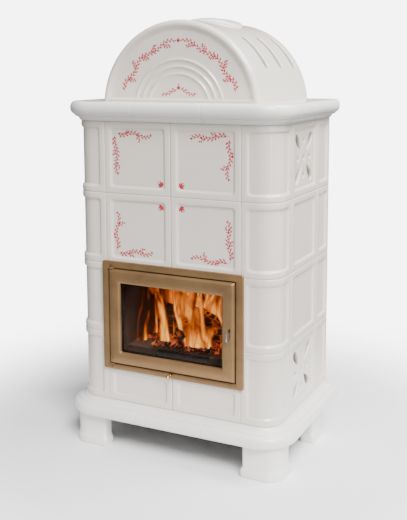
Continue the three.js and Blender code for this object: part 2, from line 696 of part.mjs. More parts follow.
function glassRetainer() {
  const front = GLASS_SEAT.front + GLASS_SEAT.thickness + 2 * CLEARANCE;
  const outer = CLEARANCE - GLASS_SEAT.reach;
  return ring([
    frameLoop(GLASS_OPENING, outer, 3, front + 4),
    frameLoop(GLASS_OPENING, outer, 3, front),
    frameLoop(GLASS_OPENING, 3, 3, front),
    frameLoop(GLASS_OPENING, 3, 3, front + 4),
  ]);
}

// The latch: a flat blade in the door's slot, lifted at its steel tip, with a hook behind the stop.
function latchLever() {
  const { x, pivotY, pivotZ } = LATCH;
  const half = 2.2;
  const blade = [[-35, 248], [-31, 246.5], [-12, 251], [pivotY, 250.5], [20, 251], [27, 251],
    [27, 262], [22, 262], [20, 258], [pivotY + 4, 263], [-12, 270], [-31, 272.5], [-35, 271]];
  const body = extrudeX(blade, x - half, x + half);
  return join(body, rodX(pivotY, pivotZ, 3, x - 7, x + 7, 12));
}

// The air control: ball, collar and stem, with the slide plate that covers the air port.
function airControl() {
  const { z, radius } = AIR_ROD;
  const ball = arc(0, -27, 5.7, 5.7, -90, 50, 7).map(([r, y]) => [Math.max(r, 0), y]);
  const profile = [...ball, [radius, -22], [radius, -16.5], [5.2, -16.5], [5.2, -14.5], [radius, -14.5],
    [radius, 66], [0, 66]];
  profile[0] = [0, -27 - 5.7];
  const plate = block(-34, 34, 65, 130, z - 1.5, z + 1.5);
  return join(turnedY(profile, 0, z, 16), plate);
}

// ---- Assembly -----------------------------------------------------------------------------------
const stove = new THREE.Group();
stove.position.set(0, -(REAR + COLLAR_REACH - PLINTH_OVERHANG) / 2, BODY_BASE);

function add(name, geometry, finish, mirrored = false) {
  const mesh = new THREE.Mesh(geometry, new THREE.MeshStandardMaterial(FINISHES[finish]));
  mesh.name = name;
  if (mirrored) mesh.scale.x = -1;
  stove.add(mesh);
}

// A piece of the right-hand side and its mirror image on the left.
function addPair(name, geometry, finish) {
  add(name + "_right", geometry, finish);
  add(name + "_left", geometry.clone(), finish, true);
}

addPair("front_foot", foot(frontFootPlan), "glaze");
addPair("rear_foot", foot(rearFootPlan), "glaze");

add("plinth_front", plinthPiece(-TILE_WIDTH / 2, TILE_WIDTH / 2), "glaze");
addPair("plinth_corner", plinthPiece(TILE_WIDTH / 2, sideRun(TILE_WIDTH)), "glaze");
addPair("plinth_side", plinthPiece(sideRun(TILE_WIDTH), sideRun(REAR)), "glaze");

add("cornice_front", cornicePiece(-TILE_WIDTH / 2, TILE_WIDTH / 2, CORNICE_DECK.front), "glaze");
addPair("cornice_corner", corniceCorner(), "glaze");
addPair("cornice_side", cornicePiece(sideRun(TILE_WIDTH), sideRun(REAR), CORNICE_DECK.side), "glaze");

for (const course of [2, 3]) {
  addPair(`front_tile_${course + 1}`, tile(0, TILE_WIDTH, course * COURSE, (course + 1) * COURSE), "glaze");
}
addPair("half_tile", tile(0, TILE_WIDTH, 0, COURSE / 2, 9), "glaze");

for (let course = 0; course < COURSES; course++) {
  const pierced = course === 0 || course === COURSES - 1;
  addPair(`corner_tile_${course + 1}`, cornerTile(course), "glaze");
  addPair(`${pierced ? "air" : "side"}_tile_${course + 1}`,
    pierced ? piercedTile(course) : sideTile(course), "glaze");
}
addPair("rear_tile_column", rearColumn(), "glaze");

add("crown_hood", crownHood(), "glaze");
add("flue_cover", flueCover(), "glaze");

add("base_tray", baseTray(), "blackSteel");
add("firebox_casing", fireboxCasing(), "blackSteel");
add("back_panel", backPanel(), "blackSteel");
add("flue_collar", flueCollar(), "greySteel");
add("hearth_bricks", hearthBricks(), "fireclay");
addPair("side_brick", sideBrick(), "fireclay");
add("rear_brick", rearBrick(), "fireclay");
add("baffle_plate", bafflePlate(), "fireclay");
add("grate", grate(), "castIron");
add("ash_pan", ashPan(), "greySteel");

add("door_surround", doorSurround(), "bronze");
add("hinge_pin_lower", hingePin(DOOR_OPENING.low - 10, DOOR_LEAF.low + 14), "greySteel");
add("hinge_pin_upper", hingePin(DOOR_LEAF.high - 14, DOOR_OPENING.high + 10), "greySteel");
add("door_frame", doorFrame(), "bronze");
add("door_glass", doorGlass(), "glass");
add("glass_retainer", glassRetainer(), "blackSteel");
add("latch_lever", latchLever(), "greySteel");
add("air_control", airControl(), "brass");

export default stove;
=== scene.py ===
"""The looks of a tiled wood stove: glazed tiles, mouldings, crown, bronzed door and the fire behind it.

Lengths are millimetres in the stove's own frame until a point is placed: x to the right, y backwards
from the front face of the tiles, z upwards from the underside of the tiled body.
"""

import math
import random

import bmesh
import bpy
from mathutils import Matrix, Vector


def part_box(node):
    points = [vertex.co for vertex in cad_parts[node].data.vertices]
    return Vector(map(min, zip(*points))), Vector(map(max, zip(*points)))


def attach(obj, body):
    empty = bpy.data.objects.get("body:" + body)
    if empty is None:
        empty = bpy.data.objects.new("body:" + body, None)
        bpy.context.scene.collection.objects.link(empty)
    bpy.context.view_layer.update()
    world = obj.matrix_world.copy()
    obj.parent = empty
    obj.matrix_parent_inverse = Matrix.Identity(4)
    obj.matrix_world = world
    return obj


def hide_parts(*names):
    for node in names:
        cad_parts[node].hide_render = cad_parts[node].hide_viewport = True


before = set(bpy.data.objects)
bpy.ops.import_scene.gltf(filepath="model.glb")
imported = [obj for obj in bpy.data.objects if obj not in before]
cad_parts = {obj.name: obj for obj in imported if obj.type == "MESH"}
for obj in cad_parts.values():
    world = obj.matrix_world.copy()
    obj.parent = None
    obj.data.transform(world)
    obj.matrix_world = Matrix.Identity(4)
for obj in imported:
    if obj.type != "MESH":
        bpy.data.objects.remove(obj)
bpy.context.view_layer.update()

bl_info = {
    "name": "Tiled Wood Stove",
    "version": (1, 0, 0),
    "blender": (4, 5, 0),
    "location": "3D View > Sidebar > Stove",
    "description": "Builds the visible surfaces of a tiled wood stove round its solids",
    "category": "Object",
}

MM = 0.001
WELD = 2e-6  # points nearer than this, in metres, are one point
TILE = 220.0
COURSE = 213.6
HALF_WIDTH = 1.5 * TILE
REAR = 444.0
BODY_TOP = 4 * COURSE
CORNICE_HEIGHT = 57
CORNICE_TOP = BODY_TOP + CORNICE_HEIGHT
CROWN_RADIUS = 255.0
CROWN_CENTRE = CORNICE_TOP - 21
CROWN_WALL = 18.0
LID_DEPTH = 285.0
TILE_GAP = 0.2
DOOR_OPENING = (209.5, 118.0, 416.0)  # half width, low, high
DOOR_LEAF = (206.2, 121.3, 412.7)
WINDOW = (168.0, 158.5, 372.0)
SURROUND = (231.0, 101.0, 436.0)
DOOR_FRONT = -16.0
DOOR_REAR = 12.0
HINGE = (-200.0, -8.0)
LATCH = (192.0, 249.5, 280.0)  # x, low and high end of its slot
LATCH_PIVOT = (3, 257)  # y, z

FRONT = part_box("front_tile_4_right")[0].y
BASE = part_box("half_tile_right")[0].z - TILE_GAP * MM


def place(point):
    """A point of the stove's own frame, as a point of the row frame in metres."""
    x, y, z = point
    return Vector((x * MM, y * MM + FRONT, z * MM + BASE))


# ---- Settings ---------------------------------------------------------------------------------


class StoveShapes(bpy.types.PropertyGroup):
    corner_radius: bpy.props.FloatProperty(
        name="Corner radius", description="Round outer corner of the tiled body",
        default=0.064, unit="LENGTH")
    tile_border: bpy.props.FloatProperty(
        name="Tile border", description="Raised border round a tile's panel",
        default=0.016, unit="LENGTH")
    panel_depth: bpy.props.FloatProperty(
        name="Panel depth", description="How far a tile's panel lies behind its border",
        default=0.0055, unit="LENGTH")
    rib_height: bpy.props.FloatProperty(
        name="Rib height", description="How far the crown's ribs stand out of its panel",
        default=0.004, unit="LENGTH")
    leaf_length: bpy.props.FloatProperty(
        name="Leaf length", description="Length of one painted leaf", default=0.0122, unit="LENGTH")
    flame_height: bpy.props.FloatProperty(
        name="Flame height", description="Height of the tallest flame", default=0.27, unit="LENGTH")


class StoveColours(bpy.types.PropertyGroup):
    glaze: bpy.props.FloatVectorProperty(
        name="Glaze", description="Colour of the glazed tiles", subtype="COLOR",
        default=(0.76, 0.705, 0.64), min=0, max=1)
    bronze: bpy.props.FloatVectorProperty(
        name="Bronze", description="Colour of the door and its surround", subtype="COLOR",
        default=(0.30, 0.176, 0.080), min=0, max=1)
    leaf: bpy.props.FloatVectorProperty(
        name="Leaves", description="Colour of the painted leaves", subtype="COLOR",
        default=(0.50, 0.022, 0.045), min=0, max=1)
    bud: bpy.props.FloatVectorProperty(
        name="Buds", description="Colour of the painted buds", subtype="COLOR",
        default=(0.24, 0.008, 0.02), min=0, max=1)
    floor: bpy.props.FloatVectorProperty(
        name="Floor", description="Colour of the studio floor", subtype="COLOR",
        default=(0.92, 0.92, 0.92), min=0, max=1)


# ---- Outlines ---------------------------------------------------------------------------------


def arc(cx, cy, rx, ry, start, end, steps):
    """Points on an ellipse's arc, with both ends; angles in degrees."""
    angles = (math.radians(start + (end - start) * i / steps) for i in range(steps + 1))
    return [(cx + rx * math.cos(a), cy + ry * math.sin(a)) for a in angles]


def smooth(t):
    return t * t * (3 - 2 * t)


def rounded_rect(left, right, low, high, radius, steps=5, stations=()):
    """A rectangle with round corners, counter-clockwise from its left edge."""
    corners = [
        arc(left + radius, low + radius, radius, radius, 180, 270, steps),
        [(u, low) for u in stations],
        arc(right - radius, low + radius, radius, radius, 270, 360, steps),
        arc(right - radius, high - radius, radius, radius, 0, 90, steps),
        [(u, high) for u in reversed(stations)],
        arc(left + radius, high - radius, radius, radius, 90, 180, steps),
    ]
    return [point for corner in corners for point in corner]


def rounded(points, radii, steps=4):
    """A polygon whose corners are rounded with one radius each."""
    outline = []
    count = len(points)
    for i, radius in enumerate(radii):
        before, here, after = (Vector(points[(i + k) % count]) for k in (-1, 0, 1))
        if radius <= 0:
            outline.append(tuple(here))
            continue
        into, out = (here - before).normalized(), (after - here).normalized()
        turn = into.angle(out)
        reach = radius * math.tan(turn / 2)
        start, end = here - into * reach, here + out * reach
        for k in range(steps + 1):
            t = k / steps
            near = start.lerp(here, t)
            far = here.lerp(end, t)
            outline.append(tuple(near.lerp(far, t)))
    return outline


def corner_radius():
    return bpy.context.scene.stove_shapes.corner_radius / MM


def wall_point(run, depth):
    """A run along the wall starts at the middle of the front and goes round the right corner."""
    radius = corner_radius()
    start = HALF_WIDTH - radius
    length = radius * math.pi / 2
    if run <= start:
        return run, depth
    if run >= start + length:
        return HALF_WIDTH - depth, radius + run - start - length
    angle = (run - start) / radius
    reach = radius - depth
    return start + reach * math.sin(angle), radius - reach * math.cos(angle)


def side_run(y):
    radius = corner_radius()
    return HALF_WIDTH - radius + radius * math.pi / 2 + y - radius


def bend(steps=20):
    """Stations round the body's corner."""
    radius = corner_radius()
    start = HALF_WIDTH - radius
    return [start + radius * math.pi / 2 * i / steps for i in range(steps + 1)]


# ---- Meshes -----------------------------------------------------------------------------------


class Shell:
    """Gathers one piece's surface from loops of points in the stove's own millimetres."""

    def __init__(self):
        self.bm = bmesh.new()

    def loop(self, points):
        return [self.bm.verts.new(place(point)) for point in points]

    def face(self, corners):
        if len(set(corners)) == len(corners):
            self.bm.faces.new(corners)

    def bridge(self, first, second, closed=True):
        count = len(first)
        for i in range(count if closed else count - 1):
            j = (i + 1) % count
            self.face((first[i], first[j], second[j], second[i]))

    def band(self, loops, closed=True, ring=False):
        """Joins each loop to the next, and the last to the first on a ring."""
        rows = [self.loop(points) for points in loops]
        for first, second in zip(rows, rows[1:]):
            self.bridge(first, second, closed)
        if ring:
            self.bridge(rows[-1], rows[0], closed)
        return rows

    def strips(self, row):
        """Fills a loop by strips between its lower and upper halves."""
        count = len(row)
        for i in range(count // 2 - 1):
            self.face((row[i], row[i + 1], row[count - 2 - i], row[count - 1 - i]))

    def fill(self, *rows):
        """Fills a flat outline, with holes where more loops are given.

        The edges keep their order, so that each run fills the outline in the same way.
        """
        edges = {}
        for row in rows:
            for first, second in zip(row, row[1:] + row[:1]):
                edge = self.bm.edges.get((first, second)) or self.bm.edges.new((first, second))
                edges[edge] = None
        bmesh.ops.triangle_fill(self.bm, use_beauty=True, use_dissolve=False, edges=list(edges))

    def capped(self, loops):
        """A band whose two ends are filled flat."""
        rows = self.band(loops)
        self.fill(rows[0])
        self.fill(rows[-1])

    def piece(self, name, finish, body="root", slot=None, instead=(), crease=38, mirrored=False):
        """The finished object: welded, facing outwards, smooth up to the crease angle."""
        bmesh.ops.remove_doubles(self.bm, verts=self.bm.verts, dist=WELD)
        bmesh.ops.dissolve_degenerate(self.bm, edges=self.bm.edges, dist=1e-7)
        if mirrored:
            bmesh.ops.scale(self.bm, vec=(-1, 1, 1), verts=self.bm.verts)
        bmesh.ops.recalc_face_normals(self.bm, faces=self.bm.faces)
        settle(name, mesh_of(self.bm, name), finish, body, instead, crease)


def weld(bm):
    """Merges doubled points and turns the faces outwards."""
    bmesh.ops.remove_doubles(bm, verts=bm.verts, dist=WELD)
    bmesh.ops.recalc_face_normals(bm, faces=bm.faces)


def mesh_of(bm, name):
    mesh = bpy.data.meshes.new(name)
    bm.to_mesh(mesh)
    bm.free()
    return mesh


def linked(name, data):
    """A new object in the scene, at the origin."""
    thing = bpy.data.objects.new(name, data)
    bpy.context.scene.collection.objects.link(thing)
    return thing


def settle(name, mesh, finish, body, instead, crease=38):
    """Links a mesh as a piece that rides on a body and stands for CAD nodes."""
    for polygon in mesh.polygons:
        polygon.use_smooth = True
        if finish:
            polygon.material_index = 0
    mesh.set_sharp_from_angle(angle=math.radians(crease))
    if finish:
        mesh.materials.clear()
        mesh.materials.append(finish)
    piece = linked(name, mesh)
    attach(piece, body)
    if instead:
        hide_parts(*instead)


# ---- Finishes ---------------------------------------------------------------------------------


class Number:
    """A shader socket that + - * / and ** turn into Math nodes."""

    def __init__(self, finish, socket):
        self.finish = finish
        self.socket = socket

    def _math(self, operation, *values):
        settings = {"operation": operation}
        return self.finish.node("ShaderNodeMath", settings, dict(enumerate(values)))["Value"]

    def __add__(self, other):
        return self._math("ADD", self, other)

    def __sub__(self, other):
        return self._math("SUBTRACT", self, other)

    def __mul__(self, other):
        return self._math("MULTIPLY", self, other)

    def __truediv__(self, other):
        return self._math("DIVIDE", self, other)

    def __pow__(self, other):
        return self._math("POWER", self, other)

    def __rsub__(self, other):
        return self._math("SUBTRACT", other, self)

    __radd__ = __add__
    __rmul__ = __mul__

    def clamp(self):
        return self.finish.node(
            "ShaderNodeClamp", {}, {"Value": self, "Min": 0.0, "Max": 1.0})["Result"]


class Outputs:
    """A node's outputs by name, each as a Number."""

    def __init__(self, finish, node):
        self.finish = finish
        self.node = node

    def __getitem__(self, name):
        return Number(self.finish, self.node.outputs[name])


class Finish:
    """One material, built from nodes by a few short calls."""

    def __init__(self, name):
        self.material = bpy.data.materials.new(name)
        self.material.use_nodes = True
        self.tree = self.material.node_tree
        self.tree.nodes.clear()
        self.output = self.tree.nodes.new("ShaderNodeOutputMaterial")

    def node(self, kind, settings=None, sockets=None):
        """A node of a type: its settings come first, then its sockets' values or links."""
        node = self.tree.nodes.new(kind)
        for name, value in (settings or {}).items():
            if name == "stops":
                self._stops(node.color_ramp, value)
            else:
                setattr(node, name, value)
        for name, value in (sockets or {}).items():
            self._feed(value, node.inputs[name])
        return Outputs(self, node)

    def _stops(self, ramp, stops):
        while len(ramp.elements) < len(stops):
            ramp.elements.new(0.5)
        for element, (position, colour) in zip(ramp.elements, stops):
            element.position = position
            element.color = (*colour, 1.0)

    def _feed(self, value, socket):
        if isinstance(value, Number):
            self.tree.links.new(value.socket, socket)
        elif isinstance(value, (tuple, list)) and len(value) == 3 and socket.type == "RGBA":
            socket.default_value = (*value, 1.0)
        else:
            socket.default_value = value

    def position(self):
        coordinates = self.node("ShaderNodeTexCoord")["Object"]
        parts = self.node("ShaderNodeSeparateXYZ", {}, {"Vector": coordinates})
        return parts["X"], parts["Y"], parts["Z"]

    def noise(self, scale, detail=3.0, stretch=(1, 1, 1), distortion=0.0, roughness=0.5):
        """Noise on object coordinates, in features per metre, drawn out by the stretch."""
        coordinates = self.node("ShaderNodeTexCoord")["Object"]
        mapped = self.node("ShaderNodeMapping", {}, {"Vector": coordinates, "Scale": stretch})["Vector"]
        return self.node("ShaderNodeTexNoise", {}, {
            "Vector": mapped, "Scale": scale, "Detail": detail, "Roughness": roughness,
            "Distortion": distortion})["Fac"]

    def cells(self, scale):
        """Distance from scattered points on object coordinates, in points per metre."""
        coordinates = self.node("ShaderNodeTexCoord")["Object"]
        return self.node("ShaderNodeTexVoronoi", {}, {"Vector": coordinates, "Scale": scale})["Distance"]

    def blend(self, factor, first, second):
        """A colour between two colours."""
        node = self.node("ShaderNodeMix", {"data_type": "RGBA", "clamp_factor": True})
        self._feed(factor, node.node.inputs[0])
        self._feed(first, node.node.inputs[6])
        self._feed(second, node.node.inputs[7])
        return Number(self, node.node.outputs[2])

    def ramp(self, factor, stops):
        return self.node("ShaderNodeValToRGB", {"stops": stops}, {"Fac": factor})["Color"]

    def bump(self, height, distance, strength=1.0, normal=None):
        sockets = {"Height": height, "Distance": distance, "Strength": strength}
        if normal:
            sockets["Normal"] = normal
        return self.node("ShaderNodeBump", {}, sockets)["Normal"]

    def principled(self, **sockets):
        """Ends the tree in a Principled shader; underscores in names stand for spaces."""
        named = {name.replace("_", " "): value for name, value in sockets.items()}
        shader = self.node("ShaderNodeBsdfPrincipled", {}, named)["BSDF"]
        self.tree.links.new(shader.socket, self.output.inputs["Surface"])
        return self.material


def colours():
    return bpy.context.scene.stove_colours


def shade(colour, factor):
    return tuple(c * factor for c in colour)


def glaze_finish(name="glaze", shade_at_depth=None):
    """Thick warm white glaze with faint clouds and pinholes; painted shade makes it browner, darker and
    duller in colour deep in an opening.
    """
    f = Finish(name)
    base = tuple(colours().glaze)
    clouds = f.noise(5.0, 4.0)
    fine = f.noise(60.0, 3.0)
    warm = tuple(c * k for c, k in zip(base, (0.975, 0.945, 0.925)))
    light = tuple(min(1.0, c * 1.035) for c in base)
    tint = f.blend(clouds, warm, light)
    pinhole = (1.0 - f.cells(95.0) * 16.0).clamp()
    colour = f.blend(pinhole * 0.35, tint, (0.42, 0.33, 0.27))
    if shade_at_depth:
        # Painted shade: the glaze colour darkens towards the depth of an opening, where less light falls.
        colour = f.blend(shade_at_depth(*f.position()).clamp(), colour, (0.27, 0.235, 0.205))
    swell = f.bump(f.noise(16.0, 2.0), 0.0016, 0.55)
    peel = f.bump(fine, 0.00018, 0.5, swell)
    return f.principled(
        Base_Color=colour, Roughness=0.13 + fine * 0.07, Normal=peel, IOR=1.52,
        Coat_Weight=0.35, Coat_Roughness=0.05)


def joint_finish():
    """Pale grout between the tiles."""
    f = Finish("joint_grout")
    grain = f.noise(420.0, 4.0)
    colour = f.blend(grain, (0.50, 0.475, 0.45), (0.62, 0.60, 0.575))
    return f.principled(Base_Color=colour, Roughness=0.9, Normal=f.bump(grain, 0.0003, 0.6))


def bronze_finish(name, stretch):
    """Bronzed steel: brown and gold mottling under fine brush lines along the stretch's long way."""
    f = Finish(name)
    base = tuple(colours().bronze)
    patches = f.noise(9.0, 5.0, (1, 1, 1.6), 0.4, 0.6)
    streaks = f.noise(90.0, 4.0, stretch, 0.1)
    lines = f.noise(900.0, 2.0, stretch)
    gold = tuple(c * k for c, k in zip(base, (1.16, 1.13, 1.06)))
    mottled = f.ramp(patches, [(0.32, shade(base, 0.80)), (0.5, base), (0.68, gold)])
    colour = f.blend(streaks * 0.5, mottled, shade(base, 0.86))
    freckle = (1.0 - f.cells(38.0) * 5.0).clamp() * patches
    colour = f.blend(freckle * 0.6, colour, shade(base, 0.55))
    return f.principled(
        Base_Color=colour, Metallic=0.72, Roughness=0.36 + patches * 0.16 + lines * 0.08,
        Normal=f.bump(lines, 0.00006, 0.5))


def steel_finish(name, colour, roughness, metallic=1.0, stretch=(1, 1, 1), mark=0.25):
    """Bare or painted steel: wiped marks, fine grain and a little wear."""
    f = Finish(name)
    marks = f.noise(14.0, 5.0, stretch, 0.5)
    grain = f.noise(700.0, 2.0, stretch)
    tint = f.blend(marks, shade(colour, 0.72), colour)
    return f.principled(
        Base_Color=tint, Metallic=metallic, Roughness=roughness + marks * mark,
        Normal=f.bump(grain, 0.00008, 0.35))


def fireclay_finish(name, colour, soot):
    """Fireclay with grog grains, sooted more towards its top."""
    f = Finish(name)
    grains = f.noise(260.0, 5.0, roughness=0.65)
    smoke = f.noise(11.0, 5.0, (1, 1, 0.6), 0.8)
    bare = f.blend(grains, shade(colour, 0.7), tuple(min(1, c * 1.2) for c in colour))
    height = f.position()[2]
    rise = ((height - (BASE + 0.16)) * 3.2).clamp()
    cover = (smoke * 0.8 + rise * 0.6 + (soot - 0.5)).clamp()
    return f.principled(
        Base_Color=f.blend(cover, bare, (0.018, 0.014, 0.013)), Roughness=0.93,
        Normal=f.bump(grains, 0.0006, 0.7))


def iron_finish():
    f = Finish("cast_iron")
    grain = f.noise(500.0, 4.0)
    rust = f.noise(24.0, 5.0, distortion=0.6)
    colour = f.ramp(rust, [(0.45, (0.028, 0.026, 0.026)), (0.7, (0.085, 0.05, 0.035))])
    return f.principled(
        Base_Color=colour, Metallic=0.55, Roughness=0.62 + grain * 0.2,
        Normal=f.bump(grain, 0.0005, 0.7))


def glass_finish():
    """Clear fire-proof glass with a coating that takes most of its reflections away."""
    f = Finish("door_glass")
    haze = f.noise(7.0, 4.0, (1, 1, 0.7), 0.6)
    return f.principled(
        Base_Color=(0.93, 0.90, 0.87), Roughness=0.015 + haze * 0.02, IOR=1.12,
        Transmission_Weight=1.0)


def leaf_finish(name, colour):
    """Brush-painted enamel under the glaze: thin and pale on one side of a stroke, full on the other."""
    f = Finish(name)
    stroke = f.noise(420.0, 3.0)
    wash = f.noise(75.0, 2.0)
    pale = tuple(min(1.0, c * 1.2 + 0.06) for c in colour)
    tint = f.ramp(stroke * 0.55 + wash * 0.45, [(0.36, shade(colour, 0.75)), (0.5, colour), (0.66, pale)])
    return f.principled(Base_Color=tint, Roughness=0.2, IOR=1.5, Coat_Weight=0.35, Coat_Roughness=0.06)


# ---- Tiles ------------------------------------------------------------------------------------

TILE_THICKNESS = 28.0
EDGE_ROUND = 3.0
PANEL_SLOPE = 8.5


def tile_profile(radius):
    """A tile's section from its rear to its panel: (inset from the edge, corner radius, depth)."""
    shapes = bpy.context.scene.stove_shapes
    border = shapes.tile_border / MM
    depth = shapes.panel_depth / MM
    section = [(0, 0.8, TILE_THICKNESS), (0, 0.8, EDGE_ROUND + 6), (0, 0.8, EDGE_ROUND)]
    for i in range(1, 6):
        a = math.pi / 2 * i / 5
        section.append((EDGE_ROUND * (1 - math.cos(a)), 1.0, EDGE_ROUND - (EDGE_ROUND - 0.25) * math.sin(a)))
    section += [(border * 0.4, 2.0, 0.05), (border * 0.6, 3.5, 0.0), (border * 0.82, radius * 0.8, 0.12)]
    for i in range(9):
        t = i / 8
        sink = 0.3 + (depth - 0.3) * smooth(t)
        section.append((border + PANEL_SLOPE * t, radius * (1.15 - 0.15 * t), sink))
    section.append((border + PANEL_SLOPE + 2.5, radius * 0.8, depth))
    return section


def tile_loops(left, right, low, high, radius):
    inner = [run for run in bend() if left + 32 < run < right - 32]

    def outline(by, corner, depth):
        edge = TILE_GAP + by
        rect = rounded_rect(left + edge, right - edge, low + edge, high - edge, corner, 4, inner)
        return [(*wall_point(run, depth), z) for run, z in rect]

    return [outline(*station) for station in tile_profile(radius)]


def tile_shell(left, right, low, high, radius=9.0, shell=None):
    shell = shell or Shell()
    rows = shell.band(tile_loops(left, right, low, high, radius))
    shell.strips(rows[0])
    shell.strips(rows[-1])
    return shell


def petal(angle):
    """An air hole in the shape of a petal: a blunt point towards the middle, broad at the far end."""
    near, length, half_width, steps = 32.0, 65.0, 13.5, 12
    ca, sa = math.cos(angle), math.sin(angle)

    def side(sign, i):
        f = (1 - math.cos(math.pi * i / steps)) / 2
        across = sign * half_width * 2.6 * f * math.sqrt(1 - f)
        along = near + length * f
        return along * ca - across * sa, along * sa + across * ca

    return [side(-1, i) for i in range(steps)] + [side(1, steps - i) for i in range(steps)]


def grown(outline, by):
    """An outline pushed outwards by a distance; its points run counter-clockwise."""
    points = [Vector(p) for p in outline]
    count = len(points)
    result = []
    for i, here in enumerate(points):
        along = points[(i + 1) % count] - points[i - 1]
        normal = Vector((along.y, -along.x)).normalized()
        result.append(tuple(here + normal * by))
    return result


def pierced_shell(left, right, low, high):
    """The air tile: four petals and five round holes with softly rounded glazed rims."""
    shell = Shell()
    rows = shell.band(tile_loops(left, right, low, high, 9.0))
    depth = bpy.context.scene.stove_shapes.panel_depth / MM
    middle_y, middle_z, spread = TILE, (low + high) / 2, 51.0
    outlines = [petal(math.radians(a)) for a in (45, 135, 225, 315)]
    dots = [(0, 0), (spread, 0), (-spread, 0), (0, spread), (0, -spread)]
    outlines += [arc(u, v, 7.2, 7.2, 0, 345, 23) for u, v in dots]
    fronts, rears = [], []
    for outline in outlines:
        rim = [(2.6, depth), (1.2, depth + 0.25), (0.35, depth + 1.0), (0.0, depth + 2.6)]
        rim += [(-1.2, TILE_THICKNESS * 0.6), (-1.6, TILE_THICKNESS)]
        loops = []
        for by, inward in rim:
            loops.append([(HALF_WIDTH - inward, middle_y + u, middle_z + v) for u, v in grown(outline, by)])
        holes = shell.band(loops)
        fronts.append(holes[0])
        rears.append(holes[-1])
    shell.fill(rows[-1], *fronts)
    shell.fill(rows[0], *rears)
    return shell


def pair(build, name, finish, instead=None, **options):
    """A piece of the right side and its mirror image on the left."""
    for side, mirrored in (("right", False), ("left", True)):
        node = f"{instead or name}_{side}"
        build().piece(f"{name}_{side}_surface", finish, instead=(node,), slot="glaze",
                      mirrored=mirrored, **options)


class STOVE_OT_tiles(bpy.types.Operator):
    """Build the glazed tiles of all four courses and the filling of their joints"""

    bl_idname = "stove.tiles"
    bl_label = "Tiles"

    def execute(self, context):
        glaze = glaze_finish()
        face = (HALF_WIDTH - 7.5) * MM
        # Painted shade: the glaze darkens deeper inside the air tiles' petals and round holes.
        pierced = glaze_finish("glaze_pierced", lambda x, y, z: (face - (x * x) ** 0.5) / 0.009)
        for course in range(4):
            low, high = course * COURSE, (course + 1) * COURSE
            pair(lambda: tile_shell(TILE, side_run(TILE / 2), low, high), f"corner_tile_{course + 1}", glaze)
            side = (side_run(TILE / 2), side_run(TILE * 1.5), low, high)
            if course in (0, 3):
                pair(lambda: pierced_shell(*side), f"air_tile_{course + 1}", pierced)
            else:
                pair(lambda: tile_shell(*side), f"side_tile_{course + 1}", glaze)
            if course > 1:
                pair(lambda: tile_shell(0, TILE, low, high), f"front_tile_{course + 1}", glaze)
        pair(lambda: tile_shell(0, TILE, 0, COURSE / 2), "half_tile", glaze)
        pair(self.rear_column, "rear_tile_column", glaze)
        filling = joint_finish()
        for side, mirrored in (("right", False), ("left", True)):
            self.filling().piece(f"joint_filling_{side}", filling, mirrored=mirrored)
        return {"FINISHED"}

    def rear_column(self):
        """Four half-width tiles over each other on one back rail."""
        shell = Shell()
        for course in range(4):
            low, high = course * COURSE, (course + 1) * COURSE
            tile_shell(side_run(TILE * 1.5), side_run(REAR), low, high, 7.0, shell)
        return shell

    def filling(self):
        """Strips behind the joints, seen as a thin line between two tiles."""
        shell = Shell()
        near, far, half = 2.0, 9.0, 2.2

        def strip(runs, low, high):
            loops = []
            for run in runs:
                outside, inside = wall_point(run, near), wall_point(run, far)
                loops.append([(*outside, low), (*outside, high), (*inside, high), (*inside, low)])
            rows = shell.band(loops)
            shell.face(rows[0])
            shell.face(rows[-1])

        for run, low, high in ((0.0, 1, COURSE / 2 - 1), (0.0, 2 * COURSE + 3, BODY_TOP - 1),
                               (TILE, 1, BODY_TOP - 1), (side_run(TILE / 2), 1, BODY_TOP - 1),
                               (side_run(TILE * 1.5), 1, BODY_TOP - 1)):
            strip((run - half, run + half), low, high)
        around = [TILE + 1, *bend(), side_run(REAR - 2)]
        for course, runs in ((1, around), (2, around), (3, [0.0, *around])):
            strip(runs, course * COURSE - half, course * COURSE + half)
        return shell


# ---- Plinth, cornice and feet -----------------------------------------------------------------

FOOT_TOP = -54.3
FOOT_BOTTOM = -152.0
DECK_FRONT = 82.0
DECK_SIDE = 100.0
CORNICE_OVERHANG = 32.5
PLINTH_HEIGHT = 54
PLINTH_OVERHANG = 40.5


def bezier(a, b, c, steps):
    points = []
    for i in range(steps + 1):
        t = i / steps
        points.append(tuple((1 - t) ** 2 * p + 2 * t * (1 - t) * q + t * t * r for p, q, r in zip(a, b, c)))
    return points


def moulding_face(height, overhang):
    """(overhang, height) from the wall: a cove, a narrow fillet and a full round nose."""
    nose_height, nose_width = (height - 17) / 2, 14.5
    nose = arc(overhang - nose_width, height - nose_height, nose_width, nose_height, -74, 90, 22)
    fillet = [(22.4, 12.9), (23.3, 14.2), (23.7, 16.2), (24.8, 17.2)]
    cove = [*bezier((4, 0.3), (8.5, 10), (20.5, 12.3), 8), *fillet]
    return [*((out * overhang / 40, up) for out, up in cove), *nose]


def moulding(from_run, to_run, face, inner, base, sign, deck_end=None):
    """Draws a moulding along the wall, with its ends slightly rounded."""
    shell = Shell()
    start, end = from_run + 0.15, to_run - 0.15
    ends = ((0.0, 2.2), (0.25, 1.2), (0.9, 0.45), (2.2, 0.0), (3.2, 0.0))
    stations = [(start + along, by) for along, by in ends]
    stations += [(run, 0.0) for run in bend() if start + 4 < run < end - 4]
    stations += [(end - along, by) for along, by in reversed(ends)]
    loops = []
    for run, by in stations:
        section = grown([*face, *inner], -by)
        section[len(face):] = inner
        points = [(*wall_point(run, -out), base + sign * up) for out, up in section]
        if deck_end:
            for k in (len(face), len(face) + 1):
                points[k] = (*deck_end(run), points[k][2])
        loops.append(points)
    shell.capped(loops)
    return shell


